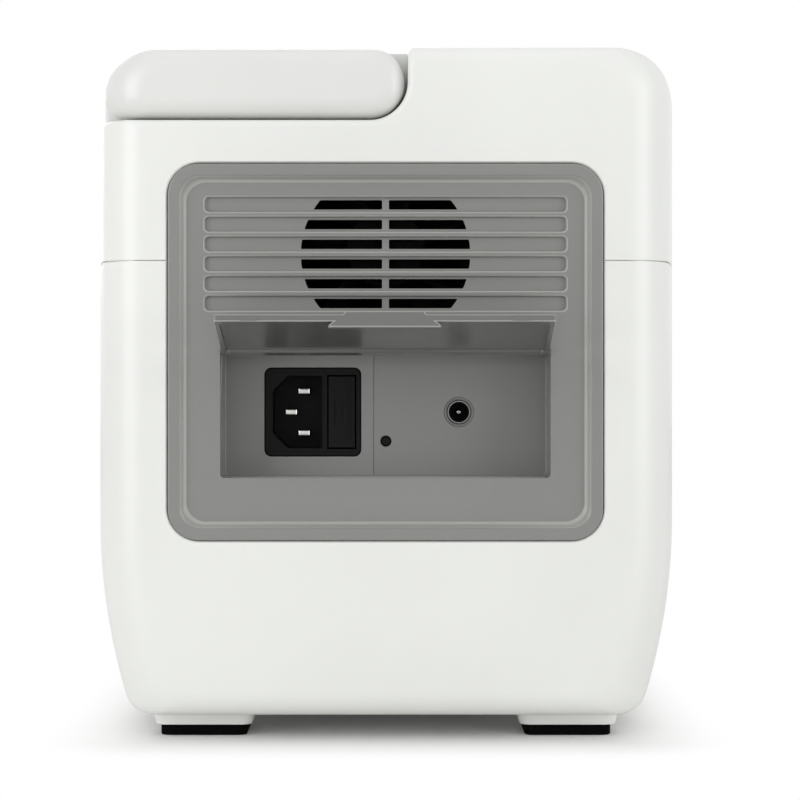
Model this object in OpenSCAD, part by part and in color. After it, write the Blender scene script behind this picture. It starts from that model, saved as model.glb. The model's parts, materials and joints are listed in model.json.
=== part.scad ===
// Compact bench-top thermal cycler with a side-hinged heated lid and a covered
// connector bay at the rear. Millimetres. +Z is up and the front faces -Y. The
// origin is on the bench, at the middle of the space the object takes up there
// with its bay flap standing open. The modules are drawn about the middle of
// the case, and piece() sets each one in that frame.

/* [Case] */
// Greatest width of the case, at mid depth
body_w = 204; // [196:1:250]
// Depth of the case, front face to rear face
body_d = 250; // [230:1:320]
// Height of the tower above the bench
body_h = 225; // [215:1:280]
// Radius of the bowed side walls, seen from above
side_bow_r = 700; // [500:10:1200]
// Radius of the four upright corners
corner_r = 13; // [8:0.5:20]
// Wall thickness of the white mouldings
wall = 2.6; // [2:0.1:3.2]
// Height of the joint between the lower and the upper case
seam_z = 155.7; // [140:0.1:165]
// Height of the case bottom above the bench
foot_h = 8; // [6:0.5:12]
// Height at which the lower walls begin to curve in
tuck_z = 70; // [50:1:90]
// Radius of that curve
tuck_r = 200; // [160:5:400]
// Radius of the lowest edge of the case
bottom_r = 8; // [5:0.5:12]
// Radius of the long top edge along the tower's side
tower_side_r = 15; // [8:0.5:20]
// Radius of the top edges at the front and the rear
top_edge_r = 6; // [3:0.5:10]

/* [Feet] */
// Width of a white foot block
foot_w = 34; // [24:1:44]
// Length of a white foot block, front to rear
foot_l = 30; // [20:1:44]
// Height of the rubber pad under a foot block
pad_h = 3.6; // [2:0.1:5]
// Width of a rubber pad
pad_w = 28.5; // [18:0.5:32]
// Distance from the middle of the case to the middle of a foot, sideways
foot_x = 60; // [50:1:66]

/* [Lid] */
// Thickness of the lid
lid_t = 22.6; // [20:0.2:26]
// Gap between the lid and the case around it
lid_gap = 0.9; // [0.6:0.1:1.5]
// Step from the tower's top down to the lid's top
lid_drop = 0.4; // [0:0.1:1]
// Sideways place of the lid's hinge axis
lid_axis_x = 5; // [0:0.5:8]
// Radius of the upper edge at the lid's free end
lid_top_r = 14; // [10:0.5:16]
// Radius of the lower edge at the lid's free end, where fingers lift it
lid_low_r = 8; // [6:0.5:10]
// Wall thickness of the lid
lid_wall = 2.4; // [2:0.1:3]
// Thickness of the lid's outer cheeks, which hide the hinge
cheek_t = 14; // [10:0.5:18]
// Length of each hinge knuckle
knuckle_l = 24; // [16:1:34]
// Radius of the two hinge pins
hinge_pin_r = 2.5; // [2:0.1:4]
// Running clearance of the lid on its hinge pins
hinge_clear = 0.05; // [0.02:0.01:0.1]

/* [Sample block] */
// Rows of wells, across the lid
well_rows = 8; // [4:1:8]
// Columns of wells, along the lid
well_columns = 12; // [4:1:12]
// Spacing of the wells
well_pitch = 9; // [8.5:0.1:9]
// Radius of a well's mouth
well_r = 3.15; // [2.8:0.05:3.3]
// Radius of a well's floor
well_floor_r = 1.4; // [1:0.1:1.8]
// Depth of a well
well_depth = 14.5; // [10:0.5:16]
// Edge of metal around the outer wells
block_margin = 2; // [1.5:0.1:2.5]
// Height of the sample block
block_h = 17; // [17:0.5:20]
// Drop from the case's ledge to the block's top
block_drop = 2.5; // [1.5:0.1:4]
// Sideways place of the block's centre
block_x = 54; // [50:0.5:55]
// Thickness of a Peltier module
peltier_t = 3.6; // [3:0.1:5]

/* [Heat sink and fan] */
// Thickness of the heat sink's base
sink_base_t = 8; // [5:0.5:10]
// Height of the fins under the base
fin_h = 40; // [20:1:50]
// Thickness of a fin
fin_t = 1.2; // [0.8:0.1:2]
// Number of fins
fin_count = 19; // [10:1:24]
// Height of the fan's centre above the vent's, which clears the bay
fan_lift = 2; // [2:0.1:4]
// Side of the square fan
fan_size = 60; // [50:1:60]
// Depth of the fan
fan_depth = 15; // [12:1:18]
// Thickness of the fan's rim between its duct and its side
fan_rim = 1.5; // [1.5:0.1:4]

/* [Rear panel] */
// Width of the rear panel
panel_w = 140.6; // [130:0.2:150]
// Height of the rear panel
panel_h = 121.6; // [118:0.2:126]
// Height of the panel's lower edge above the bench
panel_z = 65.2; // [60:0.1:68]
// Radius of the panel's corners
panel_r = 10; // [6:0.5:14]
// Width of the panel's raised rim
rim_w = 4.6; // [3:0.1:7]
// Drop from the rim to the panel's field
field_drop = 2.5; // [1.5:0.1:4]
// Thickness of the panel's field
field_t = 3; // [2.5:0.1:4]
// Fitting gap around the panel
panel_gap = 0.25; // [0.15:0.05:0.5]
// Number of vent grooves
vent_rows = 6; // [4:1:6]
// Spacing of the vent grooves
vent_pitch = 6.4; // [6:0.1:7]
// Height of a vent groove
groove_h = 4.7; // [3.5:0.1:5]
// Width of a vent groove
groove_w = 117; // [90:1:122]
// Depth of a vent groove
groove_depth = 1.6; // [1:0.1:2]
// Height of the opening in each groove
vent_open_h = 3.1; // [2:0.1:3.4]
// Radius of the circle that the openings fill
vent_r = 27.5; // [20:0.5:30]
// Width of the upright bar between the openings
vent_bar_w = 2.2; // [1.5:0.1:4]
// Distance from the panel's top to the vent's centre
vent_drop = 29; // [26:0.1:32]

/* [Connector bay] */
// Width of the bay
bay_w = 107; // [96:1:116]
// Height of the bay
bay_h = 42.8; // [38:0.2:43]
// Height of the bay's floor above the panel's lower edge
bay_lift = 20; // [18:0.1:22]
// Depth of the bay behind the panel's field
bay_depth = 22; // [18:0.5:26]
// Angle to which the flap stands open
flap_open = 104; // [80:1:110]
// Thickness of the flap
flap_t = 2.3; // [2:0.1:3]
// Gap around the flap
flap_gap = 0.6; // [0.4:0.1:1]
// Width of the flap's finger tab
tab_w = 34; // [24:1:44]
// Sideways distance from the bay's middle to each connector
connector_x = 24.3; // [22:0.1:26]
// Width of the mains inlet
inlet_w = 31.8; // [30:0.2:34]
// Height of the mains inlet
inlet_h = 29.2; // [28:0.2:31]
// Radius of the hole in the low-voltage jack
jack_r = 3.15; // [2.8:0.05:3.5]
// Travel of the fuse drawer
drawer_travel = 16; // [8:1:16]

/* [Front panel] */
// Width of the visible picture on the display
picture_w = 115; // [90:1:118]
// Height of the visible picture on the display
picture_h = 86; // [60:1:88]
// Radius of the power button
power_r = 6; // [4:0.5:7]
// Travel of the power button
power_travel = 1.5; // [1:0.1:2]

/* [Hidden] */
$fn = 64;
eps = 0.01;
// Extra width of the outlines that the plan trims
spare = 0.25;
// Reach of a turned side past the middle of the case, and half its sweep
far_side = body_w / 2 + 20;
sweep_a = asin((body_d / 2 + 15) / (side_bow_r - body_w / 2 - far_side));

rear_y = body_d / 2;
front_y = -body_d / 2;
floor_z = foot_h + wall;
tuck_h = tuck_z - foot_h;

// Lid and hinge
axis_z = body_h - lid_drop - lid_t / 2;
pocket_r = lid_t / 2 + lid_gap;
ledge_z = axis_z - pocket_r;
lid_bottom_z = axis_z - lid_t / 2;
lid_top_z = axis_z + lid_t / 2;
lid_end_gap = 0.6;
knuckle_gap = 0.5;
knuckle_top = lid_t / 2 - 0.3;
knuckle_r = sqrt(pocket_r * pocket_r + knuckle_top * knuckle_top);
notch_r = knuckle_r + knuckle_gap;
knuckle_end_y = rear_y - lid_end_gap - cheek_t - knuckle_gap;
knuckle_mid_y = knuckle_end_y - knuckle_l / 2;
pin_seat = 4;
pin_l = knuckle_l + 2 * knuckle_gap + 2 * pin_seat;

// Sample block stack, from the ledge down
block_w = (well_rows - 1) * well_pitch + 2 * (well_r + block_margin);
block_l = (well_columns - 1) * well_pitch + 2 * (well_r + block_margin);
block_top_z = ledge_z - block_drop;
block_low_z = block_top_z - block_h;
sink_top_z = block_low_z - peltier_t;
sink_base_z = sink_top_z - sink_base_t;
fin_low_z = sink_base_z - fin_h;
sink_w = block_w + 6;
sink_l = block_l + 20;
fin_l = block_l - 4;
surround_gap = 0.4;
surround_rim = 2;
opening_w = block_w + 2 * (surround_gap + surround_rim + 0.2);
opening_l = block_l + 2 * (surround_gap + surround_rim + 0.2);
lip_w = 1.6;
lip_t = 1.6;
cradle_t = 1.5;
cradle_y = sink_l / 2 - 6;
cradle_flange = 6;

// Heated lid
plate_w = block_w - 1;
plate_l = block_l - 1;
plate_t = 6;
plate_lift = 0.3;
plate_travel = 2.5;
plate_z = lid_bottom_z + plate_lift;
mat_t = 1;
spring_h = 5.2;
frame_z = plate_z + plate_t + mat_t + spring_h;
frame_t = 1.5;
plate_gap = 0.8;
window_w = plate_w + 2 * plate_gap + 5;
window_l = plate_l + 2 * plate_gap + 5;
guide_x = plate_w / 2 - 9;
guide_y = plate_l / 2 - 11;
guide_r = 2;
magnet_r = 4;
magnet_t = 3;
magnet_y = block_l / 2 + 18;
magnet_x = block_x + 18;

// Rear panel and bay
field_y = rear_y - field_drop;
field_back_y = field_y - field_t;
panel_mid_z = panel_z + panel_h / 2;
vent_z = panel_z + panel_h - vent_drop;
fan_z = vent_z + fan_lift;
fan_hole = fan_size / 2 - 5;
fan_duct_r = fan_size / 2 - fan_rim;
fan_bite = 2;
fan_shaft_r = 1.5;
flange_t = 1.5;
flange_w = 5;
screw_bite = 1.6;
bay_z = panel_z + bay_lift;
bay_top_z = bay_z + bay_h;
bay_wall = 1.6;
bay_floor_t = 2.4;
bay_floor_y = field_y - bay_depth;
flap_axis_y = field_y - 0.1 - flap_t / 2;
flap_axis_z = bay_top_z - 1.9;
flap_pin_r = 1;
scoop_depth = 1.4;
flap_w = bay_w - 2 * flap_gap;
flap_l = flap_axis_z - bay_z - flap_gap;
flap_pin_l = 2;
tab_l = 6;
tab_out = flap_t / 2 + 1.4;
tab_in = scoop_depth + 0.4 - flap_t / 2;
scoop_drop = 9.4;
connector_z = bay_z + bay_h / 2 - 0.1;
inlet_gap = 0.25;
inlet_depth = 24;
inlet_recess = 0.8;
socket_w = 16.4;
socket_h = 24.2;
socket_depth = 16;
socket_x = 5.2;
drawer_x = -9.6;
drawer_w = 9;
drawer_h = 24;
drawer_depth = 20;
drawer_gap = 0.35;
fuse_r = 2.5;
fuse_l = 20;
jack_sleeve_r = 4;
jack_dish_r = 5.2;
jack_depth = 11;
reset_r = 1.5;
reset_hole_r = 1.8;
reset_travel = 1;
reset_z = bay_z + 11.6;
screw_head_r = 2.6;
screw_head_t = 1.6;
screw_r = 1.4;
foot_head_z = 0.7;
foot_screw_top = foot_h + 8;

// Front panel
bezel_drop = 1.2;
glass_out = 0.6;
power_out = 0.8;
glass_w = picture_w + 12;
glass_h = picture_h + 10;
glass_z = panel_z + panel_h - 6 - glass_h / 2;
strip_z = panel_z + 10.5;
power_x = 48;
usb_x = -46;
usb_w = 13.2;
usb_h = 5.8;
usb_depth = 14;

// Middle of the space taken up, from the open flap's tip to the power button
flap_reach = (flap_l + tab_l) * sin(flap_open)
    + max(tab_in * cos(flap_open), tab_out * cos(flap_open));
stand_y = (flap_axis_y + flap_reach + front_y - power_out) / 2;

// Electronics
board_x = -40;
board_t = 1.6;
board_l = 150;
board_h = 110;
board_z = 62;
bracket_x = -31;
bracket_t = 1.5;
supply_x = -64;
supply_w = 42;
supply_l = 140;
supply_h = 36;
spacer_h = 4;

white = [0.94, 0.94, 0.93];
grey = [0.52, 0.52, 0.51];
dark = [0.1, 0.1, 0.1];
steel = [0.7, 0.7, 0.72];
alu = [0.8, 0.81, 0.82];
green = [0.1, 0.35, 0.2];

// Colours a piece and sets it in the part's frame
module piece(colour) {
    translate([0, -stand_y, 0]) color(colour) children();
}

function inset_centre(w, half, bow, r) =
    w / 2 - bow + sqrt(pow(bow - r, 2) - pow(half - r, 2));

function bow_tangent(half, bow, r) = (half - r) * bow / (bow - r);

// A rectangle with bowed sides and rounded corners, about the origin
module bowed_rect(w, half, bow, r) {
    cx = inset_centre(w, half, bow, r);
    intersection() {
        translate([w / 2 - bow, 0]) circle(r = bow, $fn = 256);
        translate([bow - w / 2, 0]) circle(r = bow, $fn = 256);
        square([w, 2 * bow_tangent(half, bow, r)], center = true);
    }
    square([2 * cx, 2 * half], center = true);
    for (sx = [-1, 1], sy = [-1, 1])
        translate([sx * cx, sy * (half - r)]) circle(r = r);
}

module rounded_rect(w, h, r) {
    square([w - 2 * r, h], center = true);
    square([w, h - 2 * r], center = true);
    for (sx = [-1, 1], sy = [-1, 1])
        translate([sx * (w / 2 - r), sy * (h / 2 - r)]) circle(r = r);
}

// A flat shape drawn in X and Z, given depth from y0 to y1
module upright(y0, y1) {
    translate([0, y1, 0]) rotate([90, 0, 0])
        linear_extrude(y1 - y0) children();
}

// A flat shape drawn in Y and Z, given width from x0 to x1
module sideways(x0, x1) {
    translate([x0, 0, 0]) rotate([90, 0, 90])
        linear_extrude(x1 - x0) children();
}

module block_at(x0, x1, y0, y1, z0, z1) {
    translate([x0, y0, z0]) cube([x1 - x0, y1 - y0, z1 - z0]);
}

// A round bar along Y
module bar_y(r, y0, y1) {
    translate([0, y1, 0]) rotate([90, 0, 0]) cylinder(r = r, h = y1 - y0);
}

module plan(inset = 0) {
    bowed_rect(body_w - 2 * inset, body_d / 2 - inset,
               side_bow_r - inset, corner_r - inset);
}

// Turns a profile about the axis of a bowed side. Its X runs outwards from the
// middle of the case. side is 1 for the right-hand wall and -1 for the left.
module bowed_side(side) {
    rotate([0, 0, side > 0 ? 0 : 180])
        translate([body_w / 2 - side_bow_r, 0, 0]) rotate([0, 0, -sweep_a])
            rotate_extrude(angle = 2 * sweep_a, $fn = 360)
                translate([side_bow_r - body_w / 2, 0]) children();
}

// One side of the lower case, from the start of its curve down to the bottom
function tuck_side(w, half, bow, r) =
    let (low = asin((half - r) / (bow - r)),
         cx = inset_centre(w, half, bow, r))
    concat(
        [for (i = [0:10]) let (a = low * i / 10)
            [w / 2 - bow + bow * cos(a), -bow * sin(a)]],
        [for (i = [1:6]) let (a = low + (90 - low) * i / 6)
            [cx + r * cos(a), r - half - r * sin(a)]]);

// The lower case's outline from its middle outwards, drawn in towards the bench
module tucked_half(inset) {
    w = body_w + 2 * spare - 2 * inset;
    side = tuck_side(w, tuck_h - inset, tuck_r - inset, bottom_r - inset);
    top = body_h - tuck_z;
    low = side[len(side) - 1];
    translate([0, tuck_z])
        polygon(concat([[-far_side, top], [w / 2, top]], side, [[-far_side, low[1]]]));
}

// The lower case's outline over its depth
module skirt_outline(inset) {
    r = bottom_r - inset;
    half = body_d / 2 - inset;
    low = foot_h + inset;
    translate([-half, low + r]) square([2 * half, body_h]);
    translate([-half + r, low]) square([2 * (half - r), body_h]);
    for (s = [-1, 1]) translate([s * (half - r), low + r]) circle(r = r);
}

module lower_solid(inset = 0) {
    intersection() {
        translate([0, 0, foot_h]) linear_extrude(body_h) plan(inset);
        bowed_side(1) tucked_half(inset);
        bowed_side(-1) tucked_half(inset);
        sideways(-body_w, body_w) skirt_outline(inset);
    }
}

// The upper case's outline over its width: tower, lid pocket and ledge
module tower_outline(inset = 0) {
    top = body_h - inset;
    pocket = pocket_r + inset;
    difference() {
        translate([-body_w, seam_z - 1]) square([2 * body_w, top - seam_z + 1]);
        translate([lid_axis_x, axis_z]) circle(r = pocket);
        translate([lid_axis_x - pocket, axis_z]) square([body_w, body_h]);
        translate([lid_axis_x, axis_z - pocket]) square([body_w, body_h]);
    }
}

// The tower's outline from its middle outwards, with its long rounded edge
module tower_half(inset) {
    r = tower_side_r - inset;
    w = body_w / 2 + spare - inset;
    top = body_h + spare - inset;
    translate([-far_side, seam_z - 1]) square([far_side + w, top - r - seam_z + 1]);
    translate([-far_side, seam_z - 1]) square([far_side + w - r, top - seam_z + 1]);
    translate([w - r, top - r]) circle(r = r);
}

// The upper case's outline over its depth
module top_outline(inset = 0) {
    r = top_edge_r - inset;
    half = body_d / 2 - inset;
    translate([-half, 0]) square([2 * half, body_h - inset - r]);
    translate([-half + r, 0]) square([2 * (half - r), body_h - inset]);
    for (s = [-1, 1]) translate([s * (half - r), body_h - inset - r]) circle(r = r);
}

module upper_solid(inset = 0) {
    intersection() {
        linear_extrude(body_h + 1) plan(inset);
        upright(-body_d, body_d) tower_outline(inset);
        sideways(-body_w, body_w) top_outline(inset);
        bowed_side(-1) tower_half(inset);
    }
}

// The outline of a panel, which both end walls are cut to
module panel_outline(grow = 0) {
    translate([0, panel_mid_z])
        rounded_rect(panel_w + 2 * grow, panel_h + 2 * grow, panel_r + grow);
}

module panel_openings() {
    for (side = [[rear_y - 2 * wall, rear_y + 1], [front_y - 1, front_y + 2 * wall]])
        upright(side[0], side[1]) panel_outline(panel_gap);
}

module at_feet() {
    for (sx = [-1, 1], sy = [-1, 1])
        translate([sx * foot_x, sy * (rear_y - bottom_r - 7 - foot_l / 2), 0]) children();
}

module lower_case() {
    boss_r = 5;
    piece(white) difference() {
        union() {
            difference() {
                lower_solid();
                lower_solid(wall);
                translate([0, 0, seam_z]) linear_extrude(body_h) square(2 * body_w, center = true);
                panel_openings();
            }
            at_feet() translate([0, 0, pad_h])
                linear_extrude(foot_h - pad_h + wall / 2) rounded_rect(foot_w, foot_l, 4);
            at_feet() translate([0, 0, foot_h + wall / 2]) cylinder(r = boss_r, h = 12);
        }
        at_feet() cylinder(r = screw_r, h = foot_screw_top);
        both_ends() panel_fixings(screw_r, 1, screw_bite);
        for (i = [-4:4])
            translate([block_x - 10, i * 9, foot_h]) cube([46, 3.5, 3 * wall], center = true);
    }
}

module upper_case() {
    piece(white) difference() {
        upper_solid();
        upper_solid(wall);
        translate([0, 0, seam_z - body_h]) linear_extrude(body_h) square(2 * body_w, center = true);
        panel_openings();
        both_ends() panel_fixings(screw_r, 1, screw_bite);
        block_at(block_x - opening_w / 2, block_x + opening_w / 2,
                 -opening_l / 2, opening_l / 2, ledge_z - 2 * wall, ledge_z + 1);
        for (s = [-1, 1]) translate([magnet_x, s * magnet_y, ledge_z - 1.2])
            cylinder(r = magnet_r + 0.1, h = 3);
    }
}

// Fixed blocks on the tower's wall that carry the lid's pins
module hinge_knuckles() {
    piece(white) for (s = [-1, 1])
        difference() {
            upright(s * knuckle_mid_y - knuckle_l / 2, s * knuckle_mid_y + knuckle_l / 2)
                translate([lid_axis_x, axis_z]) intersection() {
                    circle(r = knuckle_r);
                    translate([-pocket_r, -pocket_r]) square([3 * pocket_r, pocket_r + knuckle_top]);
                    difference() {
                        translate([-pocket_r, -pocket_r]) square(4 * pocket_r);
                        difference() {
                            translate([-2 * pocket_r, -2 * pocket_r]) square(2 * pocket_r);
                            circle(r = pocket_r);
                        }
                    }
                }
            translate([lid_axis_x, 0, axis_z])
                bar_y(hinge_pin_r, s * knuckle_mid_y - knuckle_l, s * knuckle_mid_y + knuckle_l);
        }
}

module rubber_feet() {
    piece(dark) at_feet() difference() {
        linear_extrude(pad_h) rounded_rect(pad_w, foot_l - 5, 3);
        translate([0, 0, -1]) cylinder(r = screw_head_r + 0.4, h = foot_head_z + screw_head_t + 1);
        cylinder(r = screw_r, h = pad_h + 1);
    }
}

module foot_screws() {
    piece(steel) at_feet() {
        translate([0, 0, foot_head_z]) cylinder(r = screw_head_r, h = screw_head_t);
        translate([0, 0, foot_head_z]) cylinder(r = screw_r, h = foot_screw_top - foot_head_z);
    }
}

// ---- Rear panel ----

module vent_openings() {
    for (i = [0:vent_rows - 1]) {
        z = vent_z + (i - (vent_rows - 1) / 2) * vent_pitch;
        intersection() {
            translate([0, vent_z]) circle(r = vent_r);
            translate([0, z]) square([2 * vent_r, vent_open_h], center = true);
            difference() {
                translate([0, z]) square([3 * vent_r, groove_h], center = true);
                translate([0, z]) square([vent_bar_w, 2 * groove_h], center = true);
            }
        }
    }
}

module inlet_outline(grow = 0) {
    translate([connector_x, connector_z])
        rounded_rect(inlet_w + 2 * grow, inlet_h + 2 * grow, 2.4);
}

module bay_outline(grow = 0) {
    translate([0, bay_z + bay_h / 2])
        rounded_rect(bay_w + 2 * grow, bay_h + 2 * grow, 1.2 + grow);
}

// Screws through a panel's flange into the case wall, at one end of the case
module panel_fixings(r, back, front) {
    for (sx = [-1, 1], z = [panel_z - flange_w / 2, panel_z + panel_h + flange_w / 2])
        translate([sx * (panel_w / 2 - 24), 0, z])
            bar_y(r, rear_y - wall - back, rear_y - wall + front);
}

module both_ends() {
    children();
    mirror([0, 1, 0]) children();
}

module rear_panel() {
    piece(grey) difference() {
        union() {
            difference() {
                upright(field_back_y, rear_y) panel_outline();
                upright(field_y, rear_y + 1) panel_outline(-rim_w);
            }
            upright(rear_y - wall - flange_t, rear_y - wall) panel_outline(flange_w);
            upright(bay_floor_y - bay_floor_t, field_back_y + eps) bay_outline(bay_wall);
        }
        upright(bay_floor_y, field_y + 1) bay_outline();
        for (i = [0:vent_rows - 1])
            upright(field_y - groove_depth, field_y + 1)
                translate([0, vent_z + (i - (vent_rows - 1) / 2) * vent_pitch])
                    rounded_rect(groove_w, groove_h, 1);
        upright(field_back_y - 1, field_y + 1) vent_openings();
        upright(field_y - scoop_depth, field_y + 1)
            translate([0, bay_z - scoop_drop / 2]) square([72, scoop_drop], center = true);
        upright(bay_floor_y - 2 * bay_floor_t, bay_floor_y + 1) inlet_outline(inlet_gap);
        translate([-connector_x, 0, connector_z]) {
            bar_y(jack_sleeve_r, bay_floor_y - 2 * bay_floor_t, bay_floor_y + 1);
            bar_y(jack_dish_r, bay_floor_y - 0.8, bay_floor_y + 1);
        }
        translate([0, 0, reset_z])
            bar_y(reset_hole_r, bay_floor_y - 2 * bay_floor_t, bay_floor_y + 1);
        block_at(3.9, 4.2, bay_floor_y - 0.25, bay_floor_y + 1, bay_z, bay_top_z);
        for (s = [-1, 1]) translate([s * bay_w / 2, flap_axis_y, flap_axis_z])
            rotate([0, 90, 0]) cylinder(r = flap_pin_r + 0.08, h = 2 * flap_pin_l + 1, center = true);
        panel_fixings(screw_r, 2 * flange_t, 1);
        for (sx = [-1, 1], sz = [-1, 1])
            translate([sx * fan_hole, 0, fan_z + sz * fan_hole])
                bar_y(screw_r, field_back_y - 1, field_back_y + fan_bite);
    }
}

// Short screws that hold each panel's flange to both halves of the case
module panel_screws() {
    piece(steel) both_ends() {
        panel_fixings(flange_w / 2 - 0.2, flange_t + 1.8, -flange_t);
        panel_fixings(screw_r, flange_t + 1, screw_bite);
    }
}

// ---- Connector bay ----

module flap_closed() {
    half = flap_w / 2;
    low = flap_axis_z - flap_l;
    dish = 0.9;
    edge = 1.6;
    difference() {
        union() {
            upright(flap_axis_y - flap_t / 2, flap_axis_y + flap_t / 2)
                translate([-half, low]) square([flap_w, flap_l]);
            translate([-half, flap_axis_y, flap_axis_z]) rotate([0, 90, 0])
                cylinder(r = flap_t / 2, h = flap_w);
            translate([-half - flap_pin_l, flap_axis_y, flap_axis_z]) rotate([0, 90, 0])
                cylinder(r = flap_pin_r, h = flap_w + 2 * flap_pin_l);
            sideways(-tab_w / 2, tab_w / 2) polygon([
                [flap_axis_y + flap_t / 2, low + 3],
                [flap_axis_y + tab_out, low - 1],
                [flap_axis_y + tab_out, low - tab_l],
                [flap_axis_y + tab_in, low - tab_l],
                [flap_axis_y + tab_in, low - 0.4],
                [flap_axis_y, low]
            ]);
        }
        block_at(-half + edge, half - edge, flap_axis_y - flap_t, flap_axis_y - flap_t / 2 + dish,
                 low + edge + 1.4, flap_axis_z - 3);
        block_at(-8, 8, flap_axis_y - flap_t, flap_axis_y + flap_t, low + 2.9, low + 4.2);
    }
    for (s = [-1, 1])
        block_at(s * 42 - 2.6, s * 42 + 2.6, flap_axis_y - 0.9, flap_axis_y + 0.6, low - 0.3, low + 0.2);
}

module bay_flap() {
    piece(grey) translate([0, flap_axis_y, flap_axis_z]) rotate([flap_open, 0, 0])
        translate([0, -flap_axis_y, -flap_axis_z]) flap_closed();
}

module socket_outline(grow = 0) {
    w = socket_w / 2 + grow;
    h = socket_h / 2 + grow;
    cut = 5;
    polygon([[-w, -h], [w - cut, -h], [w, -h + cut], [w, h - cut], [w - cut, h], [-w, h]]);
}

module mains_inlet() {
    face_y = bay_floor_y - inlet_recess;
    piece(dark) difference() {
        union() {
            upright(face_y - inlet_depth, face_y) inlet_outline();
            upright(bay_floor_y - bay_floor_t - 1.5, bay_floor_y - bay_floor_t) inlet_outline(1.6);
        }
        upright(face_y - socket_depth, face_y + 1)
            translate([connector_x + socket_x, connector_z]) socket_outline();
        upright(face_y - drawer_depth - drawer_gap, face_y + 1)
            translate([connector_x + drawer_x, connector_z])
                square([drawer_w + 2 * drawer_gap, drawer_h + 2 * drawer_gap], center = true);
    }
}

// Two live blades and the earth blade, which is longer
module inlet_blades() {
    face_y = bay_floor_y - inlet_recess;
    blades = [[-2.1, 7, 0], [-2.1, -7, 0], [2.1, 0, 1]];
    piece(steel) for (b = blades)
        upright(face_y - socket_depth, face_y - 3.5 + b[2])
            translate([connector_x + socket_x + b[0], connector_z + b[1]])
                square([4, 2], center = true);
}

module fuse_drawer() {
    face_y = bay_floor_y - inlet_recess;
    seat_y = face_y - drawer_depth + 2;
    x = connector_x + drawer_x;
    piece(dark) difference() {
        upright(face_y - drawer_depth, face_y)
            translate([x, connector_z]) square([drawer_w, drawer_h], center = true);
        upright(face_y - 1.2, face_y + 1)
            translate([x + 1, connector_z]) square([3, 8], center = true);
        block_at(x - drawer_w / 2 + 1.5, x + drawer_w, seat_y, seat_y + 2 * fuse_r,
                 connector_z - fuse_l / 2, connector_z + fuse_l / 2);
    }
}

module fuse() {
    seat_y = bay_floor_y - inlet_recess - drawer_depth + 2;
    x = connector_x + drawer_x - drawer_w / 2 + 1.5 + fuse_r;
    piece(steel) translate([x, seat_y + fuse_r, connector_z - fuse_l / 2])
        cylinder(r = fuse_r, h = fuse_l);
}

module jack_body() {
    piece(dark) translate([-connector_x, 0, connector_z]) {
        difference() {
            upright(bay_floor_y - bay_floor_t - jack_depth, bay_floor_y - bay_floor_t)
                square([11, 10], center = true);
            bar_y(jack_sleeve_r, bay_floor_y - bay_floor_t - jack_depth + 2, bay_floor_y);
        }
    }
}

module jack_sleeve() {
    piece(steel) translate([-connector_x, 0, connector_z]) difference() {
        bar_y(jack_sleeve_r, bay_floor_y - bay_floor_t - jack_depth + 2, bay_floor_y - 0.3);
        bar_y(jack_r, bay_floor_y - bay_floor_t - jack_depth + 3, bay_floor_y + 1);
    }
}

module jack_pin() {
    piece(steel) translate([-connector_x, 0, connector_z])
        bar_y(1.1, bay_floor_y - bay_floor_t - jack_depth + 3, bay_floor_y - 2);
}

module reset_button() {
    piece(dark) translate([0, 0, reset_z]) {
        bar_y(reset_r, bay_floor_y - bay_floor_t - 2, bay_floor_y - 0.6);
        bar_y(reset_r + 1, bay_floor_y - bay_floor_t - 2, bay_floor_y - bay_floor_t - 0.4);
    }
}

// ---- Front panel ----

module front_bezel() {
    piece(grey) difference() {
        union() {
            upright(front_y, front_y + field_t) panel_outline();
            upright(front_y + wall, front_y + wall + flange_t) panel_outline(flange_w);
        }
        mirror([0, 1, 0]) panel_fixings(screw_r, 2 * flange_t, 1);
        upright(front_y - 1, front_y + bezel_drop)
            translate([0, glass_z]) rounded_rect(glass_w + 0.4, glass_h + 0.4, 5);
        upright(front_y - 1, front_y + field_t + 2)
            translate([0, glass_z]) square([picture_w, picture_h], center = true);
        translate([power_x, 0, strip_z]) bar_y(power_r + 0.2, front_y - 1, front_y + 9);
        upright(front_y - 1, front_y + 9)
            translate([usb_x, strip_z]) square([usb_w + 0.4, usb_h + 0.4], center = true);
    }
}

module display_glass() {
    piece(dark) upright(front_y - glass_out, front_y + bezel_drop)
        translate([0, glass_z]) rounded_rect(glass_w, glass_h, 4.8);
}

module display_panel() {
    piece(steel) upright(front_y + bezel_drop, front_y + bezel_drop + 4)
        translate([0, glass_z]) square([picture_w - 0.4, picture_h - 0.4], center = true);
}

module display_board() {
    piece(green) upright(front_y + bezel_drop + 4, front_y + bezel_drop + 4 + board_t)
        translate([0, glass_z]) square([picture_w - 6, picture_h - 4], center = true);
}

module power_button() {
    piece(white) translate([power_x, 0, strip_z]) bar_y(power_r, front_y - power_out, front_y + 6);
}

module power_switch() {
    y0 = front_y + 6 + power_travel + 0.2;
    piece(dark) translate([power_x, 0, strip_z])
        upright(y0, y0 + 8) square([12, 12], center = true);
}

module usb_socket() {
    piece(steel) translate([usb_x, 0, strip_z]) {
        difference() {
            upright(front_y + 0.3, front_y + usb_depth) square([usb_w, usb_h], center = true);
            upright(front_y - 1, front_y + usb_depth - 1)
                square([usb_w - 1, usb_h - 1], center = true);
        }
        upright(front_y + 1.5, front_y + usb_depth - 1) translate([0, 0.9])
            square([usb_w - 3, 1.6], center = true);
    }
}

// ---- Lid ----

// The lid's outline over its width, with a full round at the hinge
module lid_outline(inset = 0) {
    r = lid_t / 2 - inset;
    translate([lid_axis_x, axis_z]) circle(r = r);
    translate([lid_axis_x, axis_z - r]) square([body_w, 2 * r]);
}

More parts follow.
